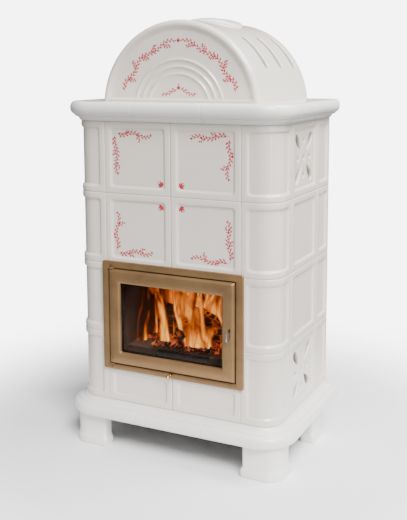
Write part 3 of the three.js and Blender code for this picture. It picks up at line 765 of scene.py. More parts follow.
class STOVE_OT_mouldings(bpy.types.Operator):
    """Build the plinth and cornice round the tiled body"""

    bl_idname = "stove.mouldings"
    bl_label = "Plinth and cornice"

    def execute(self, context):
        glaze = bpy.data.materials["glaze"]
        cornice = moulding_face(CORNICE_HEIGHT, CORNICE_OVERHANG)
        plinth = moulding_face(PLINTH_HEIGHT, PLINTH_OVERHANG)

        def deck(reach):
            under = CORNICE_HEIGHT - 20
            return [(-reach, CORNICE_HEIGHT), (-reach, under), (-TILE_THICKNESS, under),
                    (-TILE_THICKNESS, 0.3)]

        def square_corner(run):
            """Where the corner piece's deck ends: on two straight lines that meet at a square corner."""
            x, y = wall_point(run, 0)
            side = HALF_WIDTH - DECK_SIDE
            return (min(x, side), DECK_FRONT) if y < DECK_FRONT else (side, y)

        seat = [(-19, PLINTH_HEIGHT), (-19, 0.3)]
        half = TILE / 2
        pieces = (
            ("cornice_front", (-half, half), cornice, deck(DECK_FRONT), BODY_TOP, 1),
            ("cornice_corner", (half, side_run(TILE)), cornice, deck(DECK_FRONT), BODY_TOP, 1, square_corner),
            ("cornice_side", (side_run(TILE), side_run(REAR)), cornice, deck(DECK_SIDE), BODY_TOP, 1),
            ("plinth_front", (-half, half), plinth, seat, 0, -1),
            ("plinth_corner", (half, side_run(TILE)), plinth, seat, 0, -1),
            ("plinth_side", (side_run(TILE), side_run(REAR)), plinth, seat, 0, -1),
        )
        for name, runs, *rest in pieces:
            if name.endswith("front"):
                moulding(*runs, *rest).piece(f"{name}_surface", glaze, instead=(name,), slot="glaze")
            else:
                pair(lambda: moulding(*runs, *rest), name, glaze)
        return {"FINISHED"}


class STOVE_OT_feet(bpy.types.Operator):
    """Build the bracket feet at the front and the block feet at the rear"""

    bl_idname = "stove.feet"
    bl_label = "Feet"

    def execute(self, context):
        glaze = bpy.data.materials["glaze"]
        pair(lambda: self.foot(self.front_plan), "front_foot", glaze)
        pair(lambda: self.foot(self.rear_plan), "rear_foot", glaze)
        return {"FINISHED"}

    def foot(self, plan):
        """Levels of one outline: a rounded bottom, a flare and a straight shaft."""
        levels = [(0, 1.5), (0.4, 2.8), (1.5, 4.1), (3.5, 5.0)]
        levels += [(20 + 12 * i / 6, 5 * (1 - smooth(i / 6))) for i in range(7)]
        levels.append((FOOT_TOP - FOOT_BOTTOM, 0))
        shell = Shell()
        shell.capped([[(x, y, FOOT_BOTTOM + rise) for x, y in plan(flare)] for rise, flare in levels])
        return shell

    def front_plan(self, flare):
        face, proud, radius, wing, thick = HALF_WIDTH + 12, 12, 45, 75, 39
        outer = arc(face - radius, radius - proud, radius + flare, radius + flare, -90, 0, 14)
        front_end = rounded(
            [(229 - flare, thick - proud), (230 - flare, -proud - flare), outer[0]], (3, 9, 0))
        side_end = rounded([outer[-1], (face + flare, wing + flare), (face - thick, wing + flare)], (0, 9, 3))
        return [*front_end[:-1], *outer, *side_end[1:], (face - thick, 65), (265, thick - proud)]

    def rear_plan(self, flare):
        face, thick = HALF_WIDTH + 12, 39
        corners = [(face - thick, 284 - flare), (face + flare, 284 - flare),
                   (face + flare, 363 + flare), (face - thick, 363 + flare)]
        return rounded(corners, (3, 9, 9, 3))


# ---- Crown and lid ----------------------------------------------------------------------------

CROWN_BASE = CORNICE_TOP + 0.3
CROWN_FRONT = 48.0
PANEL_FRONT = 56.0
SHELL_FRONT = 70.0
SLOT_DEPTHS = (LID_DEPTH - 111, LID_DEPTH, LID_DEPTH + 111)
SLOT_ANGLE = math.radians(41)
OUTLET_RADIUS = 75.0
VAULT_LINES = [63, 80, 98, 116, 134, 152, 163, 174, 185, 196, 207, 218, 229, 240, 251.5, 263, 274, 285, 296,
               307, 318.5, 330, 341, 352, 363, 374, 385, 396, 407, 418, 431, REAR]


def springing(radius):
    return math.asin(min(1.0, (CROWN_BASE - CROWN_CENTRE) / radius))


def vault_angles(radius):
    """The same count of stations over the arch for any radius, from the right base to the left."""
    start = springing(radius)
    outer = springing(CROWN_RADIUS)
    angles = [outer, *(math.radians(a) for a in range(6, 175, 2)), math.pi - outer]
    scale = (math.pi - 2 * start) / (math.pi - 2 * outer)
    return [start + (a - outer) * scale for a in angles]


def on_vault(radius, angle, y):
    return radius * math.cos(angle), y, CROWN_CENTRE + radius * math.sin(angle)


class Slot:
    """A round-ended hot-air slot, cut square through the vault's shoulder."""

    def __init__(self, angle, depth):
        self.angle, self.depth = angle, depth
        degrees = math.degrees(angle)
        self.angles = (degrees - 19, degrees + 19)
        self.depths = (depth - 22, depth + 22)

    def flat(self, radius, angle, y):
        return radius * math.sin(angle - self.angle), y - self.depth

    def lift(self, radius, p, q):
        return on_vault(radius, self.angle + math.asin(p / radius), self.depth + q)

    def rim(self, p, q, by):
        half_length, half_width = 61.0, 13.0
        middle = max(half_width - half_length, min(half_length - half_width, p))
        reach = math.hypot(p - middle, q)
        grow = (half_width + by) / reach
        return middle + (p - middle) * grow, q * grow


class Outlet:
    """The round top flue hole under the lid."""

    def __init__(self):
        self.angles = (66, 114)
        self.depths = (196, 374)

    def flat(self, radius, angle, y):
        return radius * math.cos(angle), y - LID_DEPTH

    def lift(self, radius, p, q):
        return on_vault(radius, math.acos(p / radius), LID_DEPTH + q)

    def rim(self, p, q, by):
        grow = (OUTLET_RADIUS + by) / math.hypot(p, q)
        return p * grow, q * grow


class STOVE_OT_crown(bpy.types.Operator):
    """Build the arched hot-air crown with its slots, lunette and ribs, and the loose lid"""

    bl_idname = "stove.crown"
    bl_label = "Crown and lid"

    def execute(self, context):
        glaze = bpy.data.materials["glaze"]
        centre = place((0, 0, CROWN_CENTRE))[2]
        behind = place((0, 80, 0))[1]

        # Painted shade: the glaze darkens inside the vault wall, on the slot walls behind the crown's front.
        def slot_painted_shade(x, y, z):
            out = (x * x + (z - centre) ** 2.0) ** 0.5
            return (((CROWN_RADIUS - 3) * MM - out) / 0.010).clamp() * ((y - behind) * 200.0).clamp()

        slotted = glaze_finish("glaze_slotted", slot_painted_shade)
        self.hood(context).piece("crown_hood_surface", slotted, instead=("crown_hood",), slot="glaze")
        self.lid().piece("flue_cover_surface", glaze, body="cover", instead=("flue_cover",), slot="glaze")
        return {"FINISHED"}

    def hood(self, context):
        shell = Shell()
        holes = [Slot(a, y) for a in (SLOT_ANGLE, math.pi - SLOT_ANGLE) for y in SLOT_DEPTHS] + [Outlet()]
        inner_radius = CROWN_RADIUS - CROWN_WALL
        outer, outer_rims = self.vault(shell, CROWN_RADIUS, holes, VAULT_LINES, 2.6)
        inner, inner_rims = self.vault(shell, inner_radius, holes, [SHELL_FRONT, *VAULT_LINES[1:]], 0.0)
        shell.bridge(outer[-1], inner[-1], closed=False)
        shell.fill(inner[0])
        for hole, first, last in zip(holes, outer_rims, inner_rims):
            previous = first["row"]
            for by, depth in ((1.2, 0.3), (0.35, 1.1), (0.0, 2.6)):
                row = shell.loop([hole.lift(CROWN_RADIUS - depth, *hole.rim(*p, by)) for p in first["flat"]])
                shell.bridge(previous, row)
                previous = row
            shell.bridge(previous, last["row"])
        front = [(r, y) for r, y in arc(CROWN_RADIUS - 13, 63, 13, 15, 0, -90, 8)]
        front += [(242 - 18 * i / 10, CROWN_FRONT + 8 * smooth(i / 10)) for i in range(1, 11)]
        front += [(200, PANEL_FRONT), (175, PANEL_FRONT), (155, PANEL_FRONT)]
        rib = context.scene.stove_shapes.rib_height / MM
        for middle in (142, 122, 101.5):
            for i in range(11):
                off = 6 - 12 * i / 10
                front.append((middle + off, PANEL_FRONT - rib * math.cos(math.pi * off / 12) ** 2))
        front += [(85, PANEL_FRONT), (60, PANEL_FRONT), (40, PANEL_FRONT), (28, PANEL_FRONT),
                  (CROWN_BASE - CROWN_CENTRE, PANEL_FRONT)]
        previous = outer[0]
        for radius, y in front[1:]:
            row = shell.loop([on_vault(radius, a, y) for a in vault_angles(radius)])
            shell.bridge(previous, row, closed=False)
            previous = row
        self.close_base(shell)
        self.sill(shell)
        return shell

    def vault(self, shell, radius, holes, lines, first_rim):
        """A barrel of quads with a round of quads about each hole."""
        angles = vault_angles(radius)
        nominal = [math.degrees(a) for a in vault_angles(CROWN_RADIUS)]
        grid = [shell.loop([on_vault(radius, a, y) for a in angles]) for y in lines]
        blocks = []
        for hole in holes:
            i0, i1 = (min(range(len(nominal)), key=lambda i: abs(nominal[i] - a)) for a in hole.angles)
            j0, j1 = (min(range(len(lines)), key=lambda j: abs(lines[j] - y)) for y in hole.depths)
            blocks.append((i0, i1, j0, j1))
        for j in range(len(lines) - 1):
            for i in range(len(angles) - 1):
                if any(i0 <= i < i1 and j0 <= j < j1 for i0, i1, j0, j1 in blocks):
                    continue
                shell.face((grid[j][i], grid[j][i + 1], grid[j + 1][i + 1], grid[j + 1][i]))
        rims = []
        for hole, (i0, i1, j0, j1) in zip(holes, blocks):
            border = [(i, j0) for i in range(i0, i1)] + [(i1, j) for j in range(j0, j1)]
            border += [(i, j1) for i in range(i1, i0, -1)] + [(i0, j) for j in range(j1, j0, -1)]
            flat = [hole.flat(radius, angles[i], lines[j]) for i, j in border]
            previous = [grid[j][i] for i, j in border]
            for t in (0.45, 0.8, 1.0):
                points = []
                for p, q in flat:
                    rim = hole.rim(p, q, first_rim)
                    points.append(hole.lift(radius, p + (rim[0] - p) * t, q + (rim[1] - q) * t))
                row = shell.loop(points)
                shell.bridge(previous, row)
                previous = row
            rims.append({"row": previous, "flat": flat})
            inside = [grid[j][i] for j in range(j0 + 1, j1) for i in range(i0 + 1, i1)]
            bmesh.ops.delete(shell.bm, geom=inside, context="VERTS")
        return grid, rims

    def close_base(self, shell):
        """Fills the flat underside between the open edges."""
        bmesh.ops.remove_doubles(shell.bm, verts=shell.bm.verts, dist=WELD)
        open_edges = [edge for edge in shell.bm.edges if len(edge.link_faces) == 1]
        bmesh.ops.triangle_fill(shell.bm, use_beauty=True, use_dissolve=False, edges=open_edges)

    def sill(self, shell):
        """The low bar under the lunette, sunk into the rim at both ends."""
        reach = 236.0
        slope = [(PANEL_FRONT + 4, 12.0), (PANEL_FRONT + 1, 12.0)]
        slope += [(PANEL_FRONT - 7.8 * smooth(i / 6), 12 - 9 * i / 6) for i in range(1, 7)]
        slope += [(CROWN_FRONT + 0.2, 0.2), (PANEL_FRONT + 4, 0.2)]
        rows = shell.band([[(x, y, CROWN_BASE + rise) for y, rise in slope] for x in (-reach, reach)])
        shell.face(rows[0])
        shell.face(rows[1])

    def lid(self):
        """A low domed lid that falls away to both sides with the vault, and a spigot in the hole."""
        shell = Shell()
        radius, rise, barrel_radius = 92.0, 14, 182
        crest = CROWN_CENTRE + CROWN_RADIUS

        def vault(x, y):
            return CROWN_CENTRE + math.sqrt((CROWN_RADIUS + 0.3) ** 2 - x * x)

        def top(below):
            def height(x, y):
                dome = 10 * (math.hypot(x, y) / radius) ** 3
                barrel = barrel_radius - math.sqrt(barrel_radius ** 2 - x * x)
                return crest + rise - (dome ** 4 + barrel ** 4) ** 0.25 - below
            return height

        def sunk(x, y):
            return crest - 24

        section = [(0, vault), (40, vault), (66, vault), (66, sunk), (70, sunk), (70, vault), (radius, vault)]
        section += [(radius - 3 + r, top(3 - z)) for r, z in arc(0, 0, 3, 3, 0, 90, 5)]
        section += [(88.9 * (1 - i / 12), top(0.0)) for i in range(1, 13)]
        loops = []
        for r, height in section:
            ring = []
            for i in range(96):
                a = 2 * math.pi * i / 96
                x, y = r * math.cos(a), r * math.sin(a)
                ring.append((x, LID_DEPTH + y, height(x, y)))
            loops.append(ring)
        shell.band(loops)
        return shell


# ---- Door -------------------------------------------------------------------------------------


def frame_loop(opening, by, radius, y):
    half, low, high = opening
    outline = rounded_rect(by - half, half - by, low + by, high - by, radius, 6)
    return [(x, y, z) for x, z in outline]


def solid_box(shell, x0, x1, y0, y1, z0, z1, round_by=0.6):
    """A box with small round edges."""
    levels = [(0, round_by), (round_by * 0.3, round_by * 0.3), (round_by, 0)]
    stations = [(z0 + rise, by) for rise, by in levels] + [(z1 - rise, by) for rise, by in reversed(levels)]
    loops = []
    for z, by in stations:
        outline = rounded_rect(x0 + by, x1 - by, y0 + by, y1 - by, max(0.2, round_by), 2)
        loops.append([(x, y, z) for x, y in outline])
    shell.capped(loops)


def turned(shell, profile, centre, steps, ring=False):
    """A body turned about a line along y; the centre is (x, z), the profile holds (radius, y)."""
    turns = [2 * math.pi * i / steps for i in range(steps)]
    x, z = centre
    loops = [[(x + radius * math.cos(a), y, z + radius * math.sin(a)) for a in turns]
             for radius, y in profile]
    shell.band(loops, ring=ring)


def carved(shell, *cutters):
    """The shell's mesh less the cutters' meshes."""
    temporary = []

    def solid(source):
        weld(source.bm)
        carving = linked("carving", mesh_of(source.bm, "carving"))
        temporary.append(carving)
        return carving

    base = solid(shell)
    for cutter in cutters:
        boolean = base.modifiers.new("cut", "BOOLEAN")
        boolean.operation, boolean.solver, boolean.object = "DIFFERENCE", "EXACT", solid(cutter)
    graph = bpy.context.evaluated_depsgraph_get()
    mesh = bpy.data.meshes.new_from_object(base.evaluated_get(graph), depsgraph=graph)
    for carving in temporary:
        bpy.data.objects.remove(carving)
    return mesh


class STOVE_OT_door(bpy.types.Operator):
    """Build the bronzed surround, the door frame, its glass and its latch"""

    bl_idname = "stove.door"
    bl_label = "Door"

    def execute(self, context):
        upright = bronze_finish("bronze", (1.0, 1.0, 0.12))
        settle("door_surround_surface", self.surround(), upright, "root", ("door_surround",))
        brushed = bronze_finish("door_bronze", (0.5, 1.0, 0.2))
        settle("door_frame_surface", self.leaf(), brushed, "door", ("door_frame",))
        coat("door_glass", glass_finish())
        coat("glass_retainer", steel_finish("black_steel", (0.03, 0.03, 0.032), 0.5, 0.6))
        bright = steel_finish("bright_steel", (0.66, 0.65, 0.63), 0.22, 1.0, (1, 0.1, 1), 0.15)
        dull = steel_finish("dull_steel", (0.16, 0.13, 0.10), 0.45, 0.9)
        for pin in ("hinge_pin_lower", "hinge_pin_upper"):
            coat(pin, dull)
        self.latch().piece("latch_lever_surface", bright, body="latch", slot="bright_steel",
                           instead=("latch_lever",), crease=30)
        return {"FINISHED"}

    def surround(self):
        shell = Shell()
        stop = (197.0, 130.5, 403.5)
        sleeve = (212.0, 115.5, 418.5)
        edge = [(0.0, 6, -6.2), (0.25, 6, -6.9), (0.8, 5.6, -7.5), (1.6, 5, -7.9), (2.4, 4.4, -8.0)]
        loops = [frame_loop(SURROUND, 0, 6, -0.3), *(frame_loop(SURROUND, *step) for step in edge)]
        loops += [frame_loop(DOOR_OPENING, -1.5, 3, -8), frame_loop(DOOR_OPENING, -0.5, 2.4, -7.6),
                  frame_loop(DOOR_OPENING, 0, 2, -6.5), frame_loop(DOOR_OPENING, 0, 2, 16),
                  frame_loop(stop, 0, 2, 16), frame_loop(stop, 0, 2, 20), frame_loop(DOOR_OPENING, 0, 2, 20),
                  frame_loop(DOOR_OPENING, 0, 2, 43.7), frame_loop(sleeve, 0, 3, 43.7),
                  frame_loop(sleeve, 0, 3, -0.3)]
        shell.band(loops, ring=True)
        notch = Shell()
        keyhole = arc(0, 111.5, 5.3, 5.3, 180, 360, 16) + [(5.3, 120), (-5.3, 120)]
        notch.capped([[(x, y, z) for x, z in keyhole] for y in (-20, -0.5)])
        mesh = carved(shell, notch)
        ears = Shell()
        below = (DOOR_OPENING[1] - 1.8, DOOR_LEAF[1] - 0.6)
        above = (DOOR_LEAF[2] + 0.6, DOOR_OPENING[2] + 1.8)
        for low, high in (below, above):
            solid_box(ears, HINGE[0] - 8, HINGE[0] + 8, -13, 6, low, high)
        weld(ears.bm)
        ears.bm.from_mesh(mesh)
        ears.bm.to_mesh(mesh)
        ears.bm.free()
        return mesh

    def leaf(self):
        shell = Shell()
        front, rear, seat = DOOR_FRONT, DOOR_REAR, -5
        outer = [(0, 3, rear), (0, 3, front + 7.4), (0.3, 3, front + 6.6), (5.4, 3.4, front + 0.5),
                 (6.3, 3.6, front)]
        inner = [(-5.2, 6.5, front), (-4.4, 6.2, front + 0.3), (-0.6, 5.2, front + 3.4), (0, 5, front + 4.2),
                 (0, 5, seat), (-9, 3, seat), (-9, 3, rear)]
        loops = [frame_loop(DOOR_LEAF, *step) for step in outer]
        loops += [frame_loop(WINDOW, *step) for step in inner]
        shell.band(loops, ring=True)
        x, low, high = LATCH
        half = 2.8
        slot = Shell()
        outline = [(x - half, low), (x + half, low), *arc(x, high - half, half, half, 0, 180, 12)]
        slot.capped([[(u, y, z) for u, z in outline] for y in (front - 5, rear + 5)])
        room = Shell()
        solid_box(room, x - half, x + half, -4, rear + 5, low - 12, high - 1, 0.2)
        return carved(shell, slot, room)

    def latch(self):
        """A flat blade with a blunt bright tip, and the short pin it turns on."""
        shell = Shell()
        outline = [(-35, 248), (-31, 246.5), (-12, 251), (3, 250.5), (20, 251), (27, 251), (27, 262),
                   (22, 262), (20, 258), (7, 263), (-12, 270), (-31, 272.5), (-35, 271)]
        outline = rounded(outline, (3, 3, 2, 0, 0, 1, 1, 1, 1, 2, 3, 3, 3), 3)
        loops = []
        for across, by in ((-2.2, 0.6), (-2.0, 0.2), (-1.6, 0), (1.6, 0), (2.0, 0.2), (2.2, 0.6)):
            loops.append([(LATCH[0] + across, y, z) for y, z in grown(outline, -by)])
        shell.capped(loops)
        y, z = LATCH_PIVOT
        pin = [(0, -7), (3, -7), (3, 7), (0, 7)]
        loops = []
        for radius, along in pin:
            loops.append([(LATCH[0] + along, y + radius * math.cos(2 * math.pi * i / 20),
                           z + radius * math.sin(2 * math.pi * i / 20)) for i in range(20)])
        shell.band(loops)
        return shell


def coat(node, finish):
    """Gives a CAD node, whose shape is right as it is, its finish."""
    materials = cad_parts[node].data.materials
    materials.clear()
    materials.append(finish)


class STOVE_OT_air_control(bpy.types.Operator):
    """Build the brass air knob with its stem and slide plate"""

    bl_idname = "stove.air_control"
    bl_label = "Air control"

    def execute(self, context):
        shell = Shell()
        ball = [(radius, y) for radius, y in arc(0, -27, 5.7, 5.7, -90, 60, 18)]
        stem = [(2.5, -21.6), (2.5, -16.5), (4.8, -16.5), (5.2, -16.1), (5.2, -14.9), (4.8, -14.5),
                (2.5, -14.5), (2.5, 66), (0, 66)]
        turned(shell, ball + stem, (0, 111.5), steps=32)
        solid_box(shell, -34, 34, 65, 130, 110, 113, 0.3)
        brass = steel_finish("brass", (0.62, 0.42, 0.17), 0.16, 1.0, (1, 1, 1), 0.12)
        shell.piece("air_control_surface", brass, body="air", slot="brass", instead=("air_control",))
        return {"FINISHED"}


# ---- Repeated shapes --------------------------------------------------------------------------


def geometry_tree(name, sockets):
    """An empty Geometry Nodes tree with its inputs, and a short call that adds and feeds a node."""
    tree = bpy.data.node_groups.new(name, "GeometryNodeTree")
    tree.interface.new_socket(name="Geometry", in_out="INPUT", socket_type="NodeSocketGeometry")
    tree.interface.new_socket(name="Geometry", in_out="OUTPUT", socket_type="NodeSocketGeometry")
    for label, kind in sockets:
        tree.interface.new_socket(name=label, in_out="INPUT", socket_type=kind)
    given = tree.nodes.new("NodeGroupInput").outputs

    def add(kind, settings=None, **inputs):
        node = tree.nodes.new(kind)
        for key, value in (settings or {}).items():
            setattr(node, key, value)
        for key, value in inputs.items():
            socket = node.inputs[key.replace("_", " ")]
            if isinstance(value, bpy.types.NodeSocket):
                tree.links.new(value, socket)
            else:
                socket.default_value = value
        return node

    return tree, given, add


def grow(mesh, tree, **inputs):
    """Runs a tree on a mesh and returns the result as a plain mesh."""
    seedling = linked("seedling", mesh)
    modifier = seedling.modifiers.new("grow", "NODES")
    modifier.node_group = tree
    for item in tree.interface.items_tree:
        if item.item_type == "SOCKET" and item.in_out == "INPUT" and item.name in inputs:
            modifier[item.identifier] = inputs[item.name]
    graph = bpy.context.evaluated_depsgraph_get()
    result = bpy.data.meshes.new_from_object(seedling.evaluated_get(graph), depsgraph=graph)
    seedling.modifiers.remove(modifier)
    bpy.data.objects.remove(seedling)
    return result


def scatter_tree():
    """Sets a copy of a shape on every point, turned and sized by the points' attributes."""
    tree, given, add = geometry_tree("scatter", (
        ("Shape", "NodeSocketObject"), ("Size", "NodeSocketFloat"), ("Tumble", "NodeSocketFloat"),
        ("Seed", "NodeSocketInt"), ("Finish", "NodeSocketMaterial")))
    turn = add("GeometryNodeInputNamedAttribute", {"data_type": "FLOAT_VECTOR"}, Name="turn")
    size = add("GeometryNodeInputNamedAttribute", {"data_type": "FLOAT"}, Name="size")
    shape = add("GeometryNodeObjectInfo", Object=given["Shape"])
    scale = tree.nodes.new("ShaderNodeMath")
    scale.operation = "MULTIPLY"
    tree.links.new(size.outputs["Attribute"], scale.inputs[0])
    tree.links.new(given["Size"], scale.inputs[1])
    points = add("GeometryNodeMeshToPoints", Mesh=given["Geometry"])
    placed = add("GeometryNodeInstanceOnPoints", Points=points.outputs["Points"],
                 Instance=shape.outputs["Geometry"], Rotation=turn.outputs["Attribute"],
                 Scale=scale.outputs[0])
    chance = add("FunctionNodeRandomValue", {"data_type": "FLOAT_VECTOR"}, Seed=given["Seed"])
    tumble = tree.nodes.new("ShaderNodeVectorMath")
    tumble.operation = "SCALE"
    tree.links.new(chance.outputs[0], tumble.inputs[0])
    tree.links.new(given["Tumble"], tumble.inputs["Scale"])
    turned_more = add("GeometryNodeRotateInstances", Instances=placed.outputs["Instances"],
                      Rotation=tumble.outputs[0])
    real = add("GeometryNodeRealizeInstances", Geometry=turned_more.outputs["Instances"])
    finished = add("GeometryNodeSetMaterial", Geometry=real.outputs["Geometry"], Material=given["Finish"])
    add("NodeGroupOutput", Geometry=finished.outputs["Geometry"])
    return tree


def scatter(spots, shape, finish, tumble=0.0, seed=1):
    """A plain mesh with the shape on each spot; a spot is (point, turn, size)."""
    mesh = bpy.data.meshes.new("spots")
    mesh.from_pydata([place(point) for point, _, _ in spots], [], [])
    mesh.attributes.new("turn", "FLOAT_VECTOR", "POINT").data.foreach_set(
        "vector", [value for _, turn, _ in spots for value in turn])
    mesh.attributes.new("size", "FLOAT", "POINT").data.foreach_set("value", [size for _, _, size in spots])
    model = linked("pattern_shape", shape)
    tree = bpy.data.node_groups.get("scatter") or scatter_tree()
    result = grow(mesh, tree, Shape=model, Size=1.0, Tumble=tumble, Seed=seed, Finish=finish)
    bpy.data.objects.remove(model)
    return result


def stem_tree():
    """Draws a thin round stem along every line of a mesh."""
    tree, given, add = geometry_tree("stems", (
        ("Radius", "NodeSocketFloat"), ("Finish", "NodeSocketMaterial")))
    curve = add("GeometryNodeMeshToCurve", Mesh=given["Geometry"])
    circle = add("GeometryNodeCurvePrimitiveCircle", Resolution=6, Radius=given["Radius"])
    tube = add("GeometryNodeCurveToMesh", Curve=curve.outputs["Curve"],
               Profile_Curve=circle.outputs["Curve"], Fill_Caps=True)
    finished = add("GeometryNodeSetMaterial", Geometry=tube.outputs["Mesh"], Material=given["Finish"])
    add("NodeGroupOutput", Geometry=finished.outputs["Geometry"])
    return tree


def stems(lines, radius, finish):
    points, edges = [], []
    for line in lines:
        start = len(points)
        points += [place(point) for point in line]
        edges += [(i, i + 1) for i in range(start, len(points) - 1)]
    mesh = bpy.data.meshes.new("lines")
    mesh.from_pydata(points, edges, [])
    tree = bpy.data.node_groups.get("stems") or stem_tree()
    return grow(mesh, tree, Radius=radius * MM, Finish=finish)


def joined(name, meshes):
    """One piece from several plain meshes, each with its own finish."""
    bm = bmesh.new()
    finishes = []
    for mesh, finish in meshes:
        first = len(bm.faces)
        bm.from_mesh(mesh)
        bm.faces.ensure_lookup_table()
        if finish not in finishes:
            finishes.append(finish)
        for face in bm.faces[first:]:
            face.material_index = finishes.index(finish)
    bmesh.ops.recalc_face_normals(bm, faces=bm.faces)
    mesh = mesh_of(bm, name)
    for finish in finishes:
        mesh.materials.append(finish)
    settle(name, mesh, None, "root", (), 50)


def plain_mesh(points, faces):
    mesh = bpy.data.meshes.new("shape")
    mesh.from_pydata([Vector(point) * MM for point in points], [], faces)
    return mesh


# ---- Painted sprigs ---------------------------------------------------------------------------


def leaf_shape(length):
    """A pointed leaf, slightly domed, lying in XZ with its root at the origin."""
    steps = 5
    points = [(0, 0.15, 0)]
    for i in range(1, steps):
        t = i / steps
        half = length * 0.22 * math.sin(math.pi * t ** 0.85)
        points += [(half, 0.15, length * t), (0, -0.4, length * t), (-half, 0.15, length * t)]
    points.append((0, 0.15, length))
    last = len(points) - 1
    faces = [(0, 1, 2), (0, 2, 3), (0, 3, 1)]
    for k in range(steps - 2):
        a = 1 + 3 * k
        faces += [(a, a + 3, a + 4, a + 1), (a + 1, a + 4, a + 5, a + 2), (a + 2, a + 5, a + 3, a)]
    a = last - 3
    faces += [(a, last, a + 1), (a + 1, last, a + 2), (a + 2, last, a)]
    return plain_mesh(points, faces)


def bud_shape(radius):
    """A small drop-shaped bud, thicker than a leaf."""
    points = [(0, -0.6, radius)]
    for i in range(8):
        a = math.pi / 4 * i
        points.append((radius * math.cos(a), 0.15, radius + radius * math.sin(a) * (1.25 if i < 4 else 1.0)))
    faces = [(0, 1 + i, 1 + (i + 1) % 8) for i in range(8)] + [tuple(range(8, 0, -1))]
    return plain_mesh(points, faces)


class Sprig:
    """Collects the leaves, buds and stems that follow curves on a flat, front-facing panel."""

    def __init__(self, y):
        self.y = y - 0.1
        self.leaves, self.buds, self.lines = [], [], []

    def branch(self, path, count, lean=38, size=1.0, start=0.1):
        """Leaves set in turn on both sides of a path from its root to its end, where a bud sits."""
        self.lines.append([(u, self.y + 0.35, v) for u, v in path])
        for k in range(count):
            t = start + (0.97 - start) * k / max(1, count - 1)
            (u, v), (du, dv) = self.along(path, t)
            heading = math.atan2(du, dv) + math.radians(lean) * (1 if k % 2 else -1)
            self.leaf(u, v, heading, size * (1.1 - 0.25 * t))
        (u, v), (du, dv) = self.along(path, 1.0)
        self.bud(u, v, math.atan2(du, dv), size)

    def leaf(self, u, v, heading, size=1.0):
        self.leaves.append(((u, self.y, v), (0, heading, 0), size))

    def bud(self, u, v, heading, size=1.0):
        self.buds.append(((u, self.y, v), (0, heading, 0), size))

    def along(self, path, t):
        place_on = t * (len(path) - 1)
        i = min(int(place_on), len(path) - 2)
        (u0, v0), (u1, v1) = path[i], path[i + 1]
        f = place_on - i
        return (u0 + (u1 - u0) * f, v0 + (v1 - v0) * f), (u1 - u0, v1 - v0)

    def piece(self, name, leaf, bud):
        length = bpy.context.scene.stove_shapes.leaf_length / MM
        joined(name, [
            (scatter(self.leaves, leaf_shape(length), leaf), leaf),
            (stems(self.lines, 0.6, leaf), leaf),
            (scatter(self.buds, bud_shape(2.4), bud), bud)])


def wave(start, end, swing, waves, steps=24):
    """A path that swings from side to side of a straight line."""
    (u0, v0), (u1, v1) = start, end
    length = math.hypot(u1 - u0, v1 - v0)
    across = ((v1 - v0) / length, (u0 - u1) / length)
    path = []
    for i in range(steps + 1):
        t = i / steps
        off = swing * math.sin(math.pi * waves * t)
        path.append((u0 + (u1 - u0) * t + across[0] * off, v0 + (v1 - v0) * t + across[1] * off))
    return path


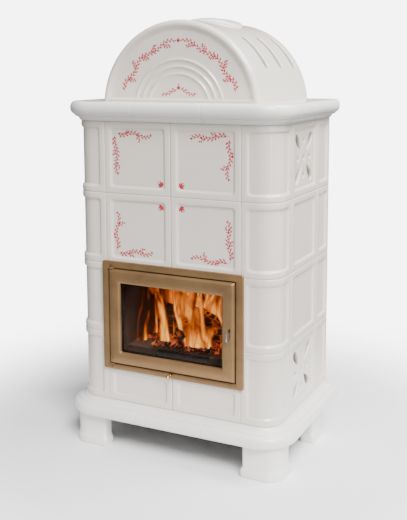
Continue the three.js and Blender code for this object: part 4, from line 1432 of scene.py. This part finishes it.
class STOVE_OT_sprigs(bpy.types.Operator):
    """Paint the leafy sprigs on the front tiles and the crown"""

    bl_idname = "stove.sprigs"
    bl_label = "Painted sprigs"

    def execute(self, context):
        leaf = leaf_finish("painted_leaf", tuple(context.scene.stove_colours.leaf))
        bud = leaf_finish("painted_bud", tuple(context.scene.stove_colours.bud))
        depth = context.scene.stove_shapes.panel_depth / MM
        inset = 34.0
        for course in (2, 3):
            for side in (-1, 1):
                name = f"tile_sprig_{course + 1}_{'right' if side > 0 else 'left'}"
                self.tile(side, course, depth, inset).piece(name, leaf, bud)
        self.garland().piece("crown_garland", leaf, bud)
        return {"FINISHED"}

    def tile(self, side, course, depth, inset):
        """An L of two wavy branches from the outer corner; four leaves and a bud at the inner one."""
        upper = course == 3
        sprig = Sprig(depth)
        low, high = course * COURSE + inset, (course + 1) * COURSE - inset
        outer, inner = side * (TILE - inset), side * inset
        corner_v, far_v = (high, low) if upper else (low, high)
        up = 1 if upper else -1
        arms = (((-side, -0.06 * up), ((0.30, 1), (0.62, -1))),
                ((-0.05 * side, -up), ((0.36, -1), (0.70, 1))))
        for (du, dv), twigs in arms:
            root, end = ((outer + du * reach, corner_v + dv * reach) for reach in (3, 120))
            arm = wave(root, end, 5.0, 3, 30)
            sprig.branch(arm, 21, start=0.06)
            for t, turn in twigs:
                (u, v), (tu, tv) = sprig.along(arm, t)
                heading = math.atan2(tu, tv) + math.radians(48) * turn * side * up
                tip = (u + 19 * math.sin(heading), v + 19 * math.cos(heading))
                sprig.branch(wave((u, v), tip, 1.2, 1, 8), 4, 40, 0.85)
        middle = math.atan2(side, up)
        for turn, size in ((-0.85, 1.25), (-0.3, 1.6), (0.3, 1.6), (0.85, 1.25)):
            sprig.leaf(inner - side * 6, far_v - up * 6, middle + turn, size)
        sprig.bud(inner + side * 5, far_v + up * 5, middle, 0.8)
        return sprig

    def garland(self):
        """Two branches that rise round the lunette and meet near its top, with side twigs."""
        sprig = Sprig(PANEL_FRONT)
        radius = 186.0
        for side in (-1, 1):
            path = []
            for i in range(61):
                t = i / 60
                a = math.radians(15 + 71.5 * t)
                r = radius + 6.5 * math.sin(math.pi * 5 * t) + 10 * t ** 6
                path.append((side * r * math.cos(a), CROWN_CENTRE + r * math.sin(a)))
            sprig.branch(path, 40, 36, 1.0, start=0.02)
            for t, turn in ((0.16, -1), (0.33, 1), (0.48, -1), (0.64, 1), (0.82, -1)):
                (u, v), (du, dv) = sprig.along(path, t)
                heading = math.atan2(du, dv) + side * turn * math.radians(50)
                tip = (u + 24 * math.sin(heading), v + 24 * math.cos(heading))
                sprig.branch(wave((u, v), tip, 1.5, 1, 8), 6, 40, 0.9)
            root, end = (side * 3, CROWN_BASE + 34), (side * 50, CROWN_BASE + 21)
            sprig.branch(wave(root, end, -side * 3, 2, 12), 9, 38, 0.9)
        for root in (CROWN_BASE + 34, CROWN_CENTRE + 190):
            for turn, size in ((-0.5, 1.0), (0.0, 1.25), (0.5, 1.0)):
                sprig.leaf(0, root, turn, size)
        sprig.bud(0, CROWN_BASE + 48, 0, 0.9)
        return sprig


# ---- Firebox and fire -------------------------------------------------------------------------


class STOVE_OT_firebox(bpy.types.Operator):
    """Finish the steel, bricks and grate inside and at the back"""

    bl_idname = "stove.firebox"
    bl_label = "Firebox and back"

    def execute(self, context):
        casing = steel_finish("sooted_steel", (0.045, 0.042, 0.04), 0.55, 0.5)
        sheet = steel_finish("sheet_steel", (0.20, 0.20, 0.205), 0.42, 0.85, (1, 1, 0.15))
        for node in ("firebox_casing", "base_tray"):
            coat(node, casing)
        for node in ("back_panel", "ash_pan"):
            coat(node, sheet)
        brick = fireclay_finish("fireclay", (0.17, 0.115, 0.08), 0.62)
        for node in ("hearth_bricks", "side_brick_left", "side_brick_right", "rear_brick"):
            coat(node, brick)
        coat("baffle_plate", fireclay_finish("vermiculite", (0.36, 0.29, 0.20), 0.7))
        coat("grate", iron_finish())
        black = bpy.data.materials["black_steel"]
        collar = Shell()
        section = [(72, 372.3), (95, 372.3), (95, 376.3), (75.6, 376.3), (75, 377), (75, 475.6),
                   (74.6, 476), (72.4, 476), (72, 475.6)]
        turned(collar, section, (0, 575), steps=72, ring=True)
        collar.piece("flue_collar_surface", black, instead=("flue_collar",), slot="black_steel")
        head = Shell()
        dome = [(0, -2.3), (2.2, -2.0), (3.9, -1.1), (4.4, 0.0), (4.4, 0.4), (0, 0.4)]
        turned(head, dome, (0, 0), steps=12)
        weld(head.bm)
        bmesh.ops.translate(head.bm, vec=-place((0, 0, 0)), verts=head.bm.verts)
        spots = []
        rear = REAR + 2.3
        for i in range(6):
            z = -30 + 177 * i
            spots += [((x, rear, z), (0, 0, math.pi), 1.0) for x in (-304, 304)]
        spots += [((x, rear, -38), (0, 0, math.pi), 1.0) for x in (-150, 0, 150)]
        bright = bpy.data.materials["bright_steel"]
        screws = scatter(spots, mesh_of(head.bm, "screw_head"), bright)
        settle("back_panel_screws", screws, bright, "root", (), 30)
        return {"FINISHED"}


def flame_finish():
    """Glowing gas in upright filaments: thick and yellow low down, torn into red tips above."""
    f = Finish("flames")
    across, _, height = f.position()
    rise = ((height - (BASE + 0.165)) / bpy.context.scene.stove_shapes.flame_height).clamp()
    tongues = f.noise(9.0, 2.0, (1.0, 0.8, 0.34), 1.5) - 0.5
    threads = f.noise(48.0, 3.0, (1.0, 1.0, 0.14), 0.9)
    edge = (1.0 - (tongues * 13.0) ** 2.0).clamp()
    body = (tongues * 6.5 + 0.15).clamp()
    sides = (across * across * 31.0) ** 2.0
    strength = 1.15 - rise * 0.75 + across * 0.5 - sides * 0.6
    heat = (body * 0.5 + edge * 0.5) * strength * (threads * 2.4 - 0.2)
    colour = f.ramp(heat.clamp(), [
        (0.0, (0.05, 0.003, 0.0005)), (0.22, (0.22, 0.026, 0.002)), (0.45, (0.48, 0.115, 0.010)),
        (0.70, (0.85, 0.36, 0.055)), (0.92, (1.0, 0.84, 0.50))])
    glow = f.node("ShaderNodeEmission", {}, {"Color": colour, "Strength": 2.0})["Emission"]
    clear = f.node("ShaderNodeBsdfTransparent")["BSDF"]
    veil = (heat * 2.2 - 0.30).clamp() * (1.0 - rise ** 5.0)
    mixed = f.node("ShaderNodeMixShader", {}, {0: veil, 1: clear, 2: glow})
    f.tree.links.new(mixed["Shader"].socket, f.output.inputs["Surface"])
    return f.material


def char_finish():
    """Charred wood in square checks, with embers glowing in the deepest cracks."""
    f = Finish("charred_log")
    coordinates = f.node("ShaderNodeTexCoord")["Object"]
    mapped = f.node("ShaderNodeMapping", {}, {"Vector": coordinates, "Scale": (0.6, 1.0, 1.0)})["Vector"]
    cells = f.node("ShaderNodeTexVoronoi", {"feature": "DISTANCE_TO_EDGE"}, {
        "Vector": mapped, "Scale": 62.0})["Distance"]
    ash = f.noise(28.0, 5.0)
    crack = (1.0 - cells * 7.0).clamp()
    colour = f.blend(ash, (0.012, 0.010, 0.009), (0.11, 0.085, 0.07))
    glow = f.blend(crack * (ash * 2.2 - 0.9).clamp(), (0.0, 0.0, 0.0), (1.0, 0.14, 0.01))
    return f.principled(Base_Color=colour, Roughness=0.95, Normal=f.bump(cells, 0.004, 0.9),
                        Emission_Color=glow, Emission_Strength=1.6)


def ember_finish():
    f = Finish("embers")
    heat = f.noise(55.0, 4.0)
    colour = f.ramp(heat, [
        (0.42, (0.012, 0.004, 0.002)), (0.54, (0.45, 0.03, 0.002)), (0.70, (0.8, 0.16, 0.01))])
    body = f.blend(heat, (0.02, 0.018, 0.017), (0.16, 0.13, 0.12))
    return f.principled(Base_Color=body, Roughness=0.95, Emission_Color=colour, Emission_Strength=0.9)


class STOVE_OT_fire(bpy.types.Operator):
    """Lay logs and embers on the hearth and light the fire"""

    bl_idname = "stove.fire"
    bl_label = "Fire"

    def execute(self, context):
        char = char_finish()
        logs = (((-150, 205, 200), (45, 150, 190), 30), ((-50, 118, 190), (152, 205, 196), 26),
                ((-120, 165, 244), (85, 200, 238), 24))
        for number, (start, end, radius) in enumerate(logs, 1):
            self.log(start, end, radius, number).piece(f"log_{number}", char, crease=60)
        self.embers()
        tall = context.scene.stove_shapes.flame_height / MM
        gas = flame_finish()
        for row, depth in enumerate((112, 178, 246), 1):
            self.curtain(depth, tall, row).piece(f"flames_{row}", gas, crease=180)
        return {"FINISHED"}

    def log(self, start, end, radius, seed):
        """A split log: a rough, slightly bent cylinder with rounded, broken ends."""
        chance = random.Random(seed)
        shell = Shell()
        a, b = Vector(start), Vector(end)
        axis = (b - a).normalized()
        side = axis.cross(Vector((0, 0, 1))).normalized()
        up = side.cross(axis)
        phases = [chance.uniform(0, 6.28) for _ in range(6)]
        loops = []
        for i in range(29):
            t = i / 28
            taper = min(1.0, math.sqrt(max(0.0, min(t, 1 - t)) * 14 + 0.02))
            centre = a.lerp(b, t) + up * 4 * math.sin(math.pi * t + phases[0])
            loop = []
            for k in range(30):
                angle = 2 * math.pi * k / 30
                rough = 1 + 0.09 * math.sin(3 * angle + phases[1])
                rough += 0.05 * math.sin(7 * angle + 9 * t + phases[2])
                rough += 0.04 * math.sin(22 * t + 2 * angle + phases[3]) + 0.03 * math.sin(47 * t + 5 * angle)
                outwards = side * math.cos(angle) + up * math.sin(angle)
                loop.append(tuple(centre + outwards * radius * rough * taper))
            loops.append(loop)
        shell.capped(loops)
        return shell

    def embers(self):
        chance = random.Random(3)
        spots = []
        for _ in range(520):
            x, y = chance.gauss(0, 85), chance.gauss(165, 48)
            if abs(x) < 172 and 72 < y < 300:
                heap = 16 * math.exp(-((x / 110) ** 2) - ((y - 170) / 65) ** 2)
                spots.append(((x, y, 163.0 + chance.uniform(0, heap)), (0, 0, 0), chance.uniform(0.35, 0.9)))
        bm = bmesh.new()
        bmesh.ops.create_icosphere(bm, subdivisions=1, radius=6.5 * MM)
        bmesh.ops.scale(bm, vec=(1.2, 1.0, 0.7), verts=bm.verts)
        glowing = ember_finish()
        bed = scatter(spots, mesh_of(bm, "lump"), glowing, tumble=6.28, seed=5)
        settle("ember_bed", bed, glowing, "root", (), 30)

    def curtain(self, depth, height, phase):
        """A thin wavy sheet of gas across the firebox; its finish tears it into flames."""
        shell = Shell()
        reach, base, thickness = 174.0, 166.0, 2.0
        loops = []
        for i in range(49):
            x = -reach + 2 * reach * i / 48
            front, rear = [], []
            for k in range(15):
                z = base + height * k / 14
                y = depth + 11 * math.sin(x / 33 + 2.1 * phase + z / 90)
                y += 5 * math.sin(z / 31 + x / 70 + phase)
                front.append((x, y - thickness / 2, z))
                rear.append((x, y + thickness / 2, z))
            loops.append(front + rear[::-1])
        rows = shell.band(loops)
        shell.strips(rows[0])
        shell.strips(rows[-1])
        return shell


# ---- Studio -----------------------------------------------------------------------------------


class STOVE_OT_stage(bpy.types.Operator):
    """Set up the floor, the soft studio light and the camera"""

    bl_idname = "stove.stage"
    bl_label = "Studio"

    def execute(self, context):
        f = Finish("studio_floor")
        floor_colour = tuple(context.scene.stove_colours.floor)
        reach = 1.5
        x, y, _ = f.position()
        away = (x ** 2.0 + y ** 2.0) ** 0.5
        fade = f.node("ShaderNodeMapRange", {"interpolation_type": "SMOOTHERSTEP"}, {
            "Value": away, "From Min": 0.35 * reach, "From Max": reach,
            "To Min": 1.0, "To Max": 0.0})["Result"]
        f.principled(Base_Color=floor_colour, Roughness=0.9, Specular_IOR_Level=0.1, Alpha=fade)
        mesh = bpy.data.meshes.new("studio_floor")
        mesh.from_pydata([(-reach, -reach, 0), (reach, -reach, 0), (reach, reach, 0), (-reach, reach, 0)], [],
                         [(0, 1, 2, 3)])
        mesh.materials.append(f.material)
        linked("studio_floor", mesh)
        world = bpy.data.worlds.new("studio")
        world.use_nodes = True
        tree = world.node_tree
        background = tree.nodes["Background"]
        background.inputs["Color"].default_value = (1.0, 1.0, 1.0, 1.0)
        surroundings, backdrop = 0.28, 6.5
        seen = tree.nodes.new("ShaderNodeLightPath").outputs["Is Camera Ray"]
        strength = tree.nodes.new("ShaderNodeMapRange")
        strength.inputs["To Min"].default_value = surroundings
        strength.inputs["To Max"].default_value = backdrop
        tree.links.new(seen, strength.inputs["Value"])
        tree.links.new(strength.outputs["Result"], background.inputs["Strength"])
        context.scene.world = world
        target = Vector((0.0, 0.0, 0.85))
        for name, kind, place_at, size, power in (
                ("key", "SUN", (2.1, -1.9, 4.0), (0.45, 0.0), 5.3),
                ("upper", "AREA", (1.3, -2.3, 2.6), (1.2, 0.9), 34.0),
                ("side", "AREA", (3.2, -2.2, 1.5), (0.7, 2.6), 34.0),
                ("top", "AREA", (1.5, 0.3, 2.9), (1.4, 1.4), 125.0)):
            light = bpy.data.lights.new(name, kind)
            light.energy = power
            if kind == "SUN":
                light.angle = size[0]
            else:
                light.shape = "RECTANGLE"
                light.size, light.size_y = size
            lamp = linked(name, light)
            lamp.location = place_at
            lamp.rotation_euler = (target - lamp.location).to_track_quat("-Z", "Y").to_euler()
        self.camera(context)
        return {"FINISHED"}

    def camera(self, context):
        """The photograph's viewpoint, from the right and from a little above."""
        yaw, pitch, roll = 0.456, 0.135, -0.004
        forward = Vector((
            -math.sin(yaw) * math.cos(pitch), math.cos(yaw) * math.cos(pitch), -math.sin(pitch)))
        right = Vector((math.cos(yaw), math.sin(yaw), 0))
        up = right.cross(forward)
        turned_right = right * math.cos(roll) + up * math.sin(roll)
        turned_up = up * math.cos(roll) - right * math.sin(roll)
        data = bpy.data.cameras.new("camera")
        data.lens, data.sensor_width, data.shift_y = 59.36, 36.0, -0.15
        camera = linked("camera", data)
        camera.matrix_world = Matrix.Translation(place((1156.2, -2140.7, 1014.8))) @ Matrix(
            (turned_right, turned_up, -forward)).transposed().to_4x4()
        context.scene.camera = camera


# ---- Panel and run ----------------------------------------------------------------------------

OPERATORS = (STOVE_OT_stage, STOVE_OT_tiles, STOVE_OT_mouldings, STOVE_OT_feet, STOVE_OT_crown, STOVE_OT_door,
             STOVE_OT_air_control, STOVE_OT_firebox, STOVE_OT_fire, STOVE_OT_sprigs)


class STOVE_PT_panel(bpy.types.Panel):
    """Lists the stove's sizes, colours and steps"""

    bl_idname = "STOVE_PT_panel"
    bl_label = "Tiled wood stove"
    bl_space_type = "VIEW_3D"
    bl_region_type = "UI"
    bl_category = "Stove"

    def draw(self, context):
        for group in (context.scene.stove_shapes, context.scene.stove_colours):
            for name in group.__annotations__:
                self.layout.prop(group, name)
        for operator in OPERATORS:
            self.layout.operator(operator.bl_idname)


CLASSES = (StoveShapes, StoveColours, *OPERATORS, STOVE_PT_panel)


def register():
    for cls in CLASSES:
        bpy.utils.register_class(cls)
    bpy.types.Scene.stove_shapes = bpy.props.PointerProperty(type=StoveShapes)
    bpy.types.Scene.stove_colours = bpy.props.PointerProperty(type=StoveColours)


def unregister():
    del bpy.types.Scene.stove_shapes
    del bpy.types.Scene.stove_colours
    for cls in reversed(CLASSES):
        bpy.utils.unregister_class(cls)


def main():
    register()
    for operator in OPERATORS:
        group, name = operator.bl_idname.split(".")
        getattr(getattr(bpy.ops, group), name)()


if __name__ == "__main__":
    main()
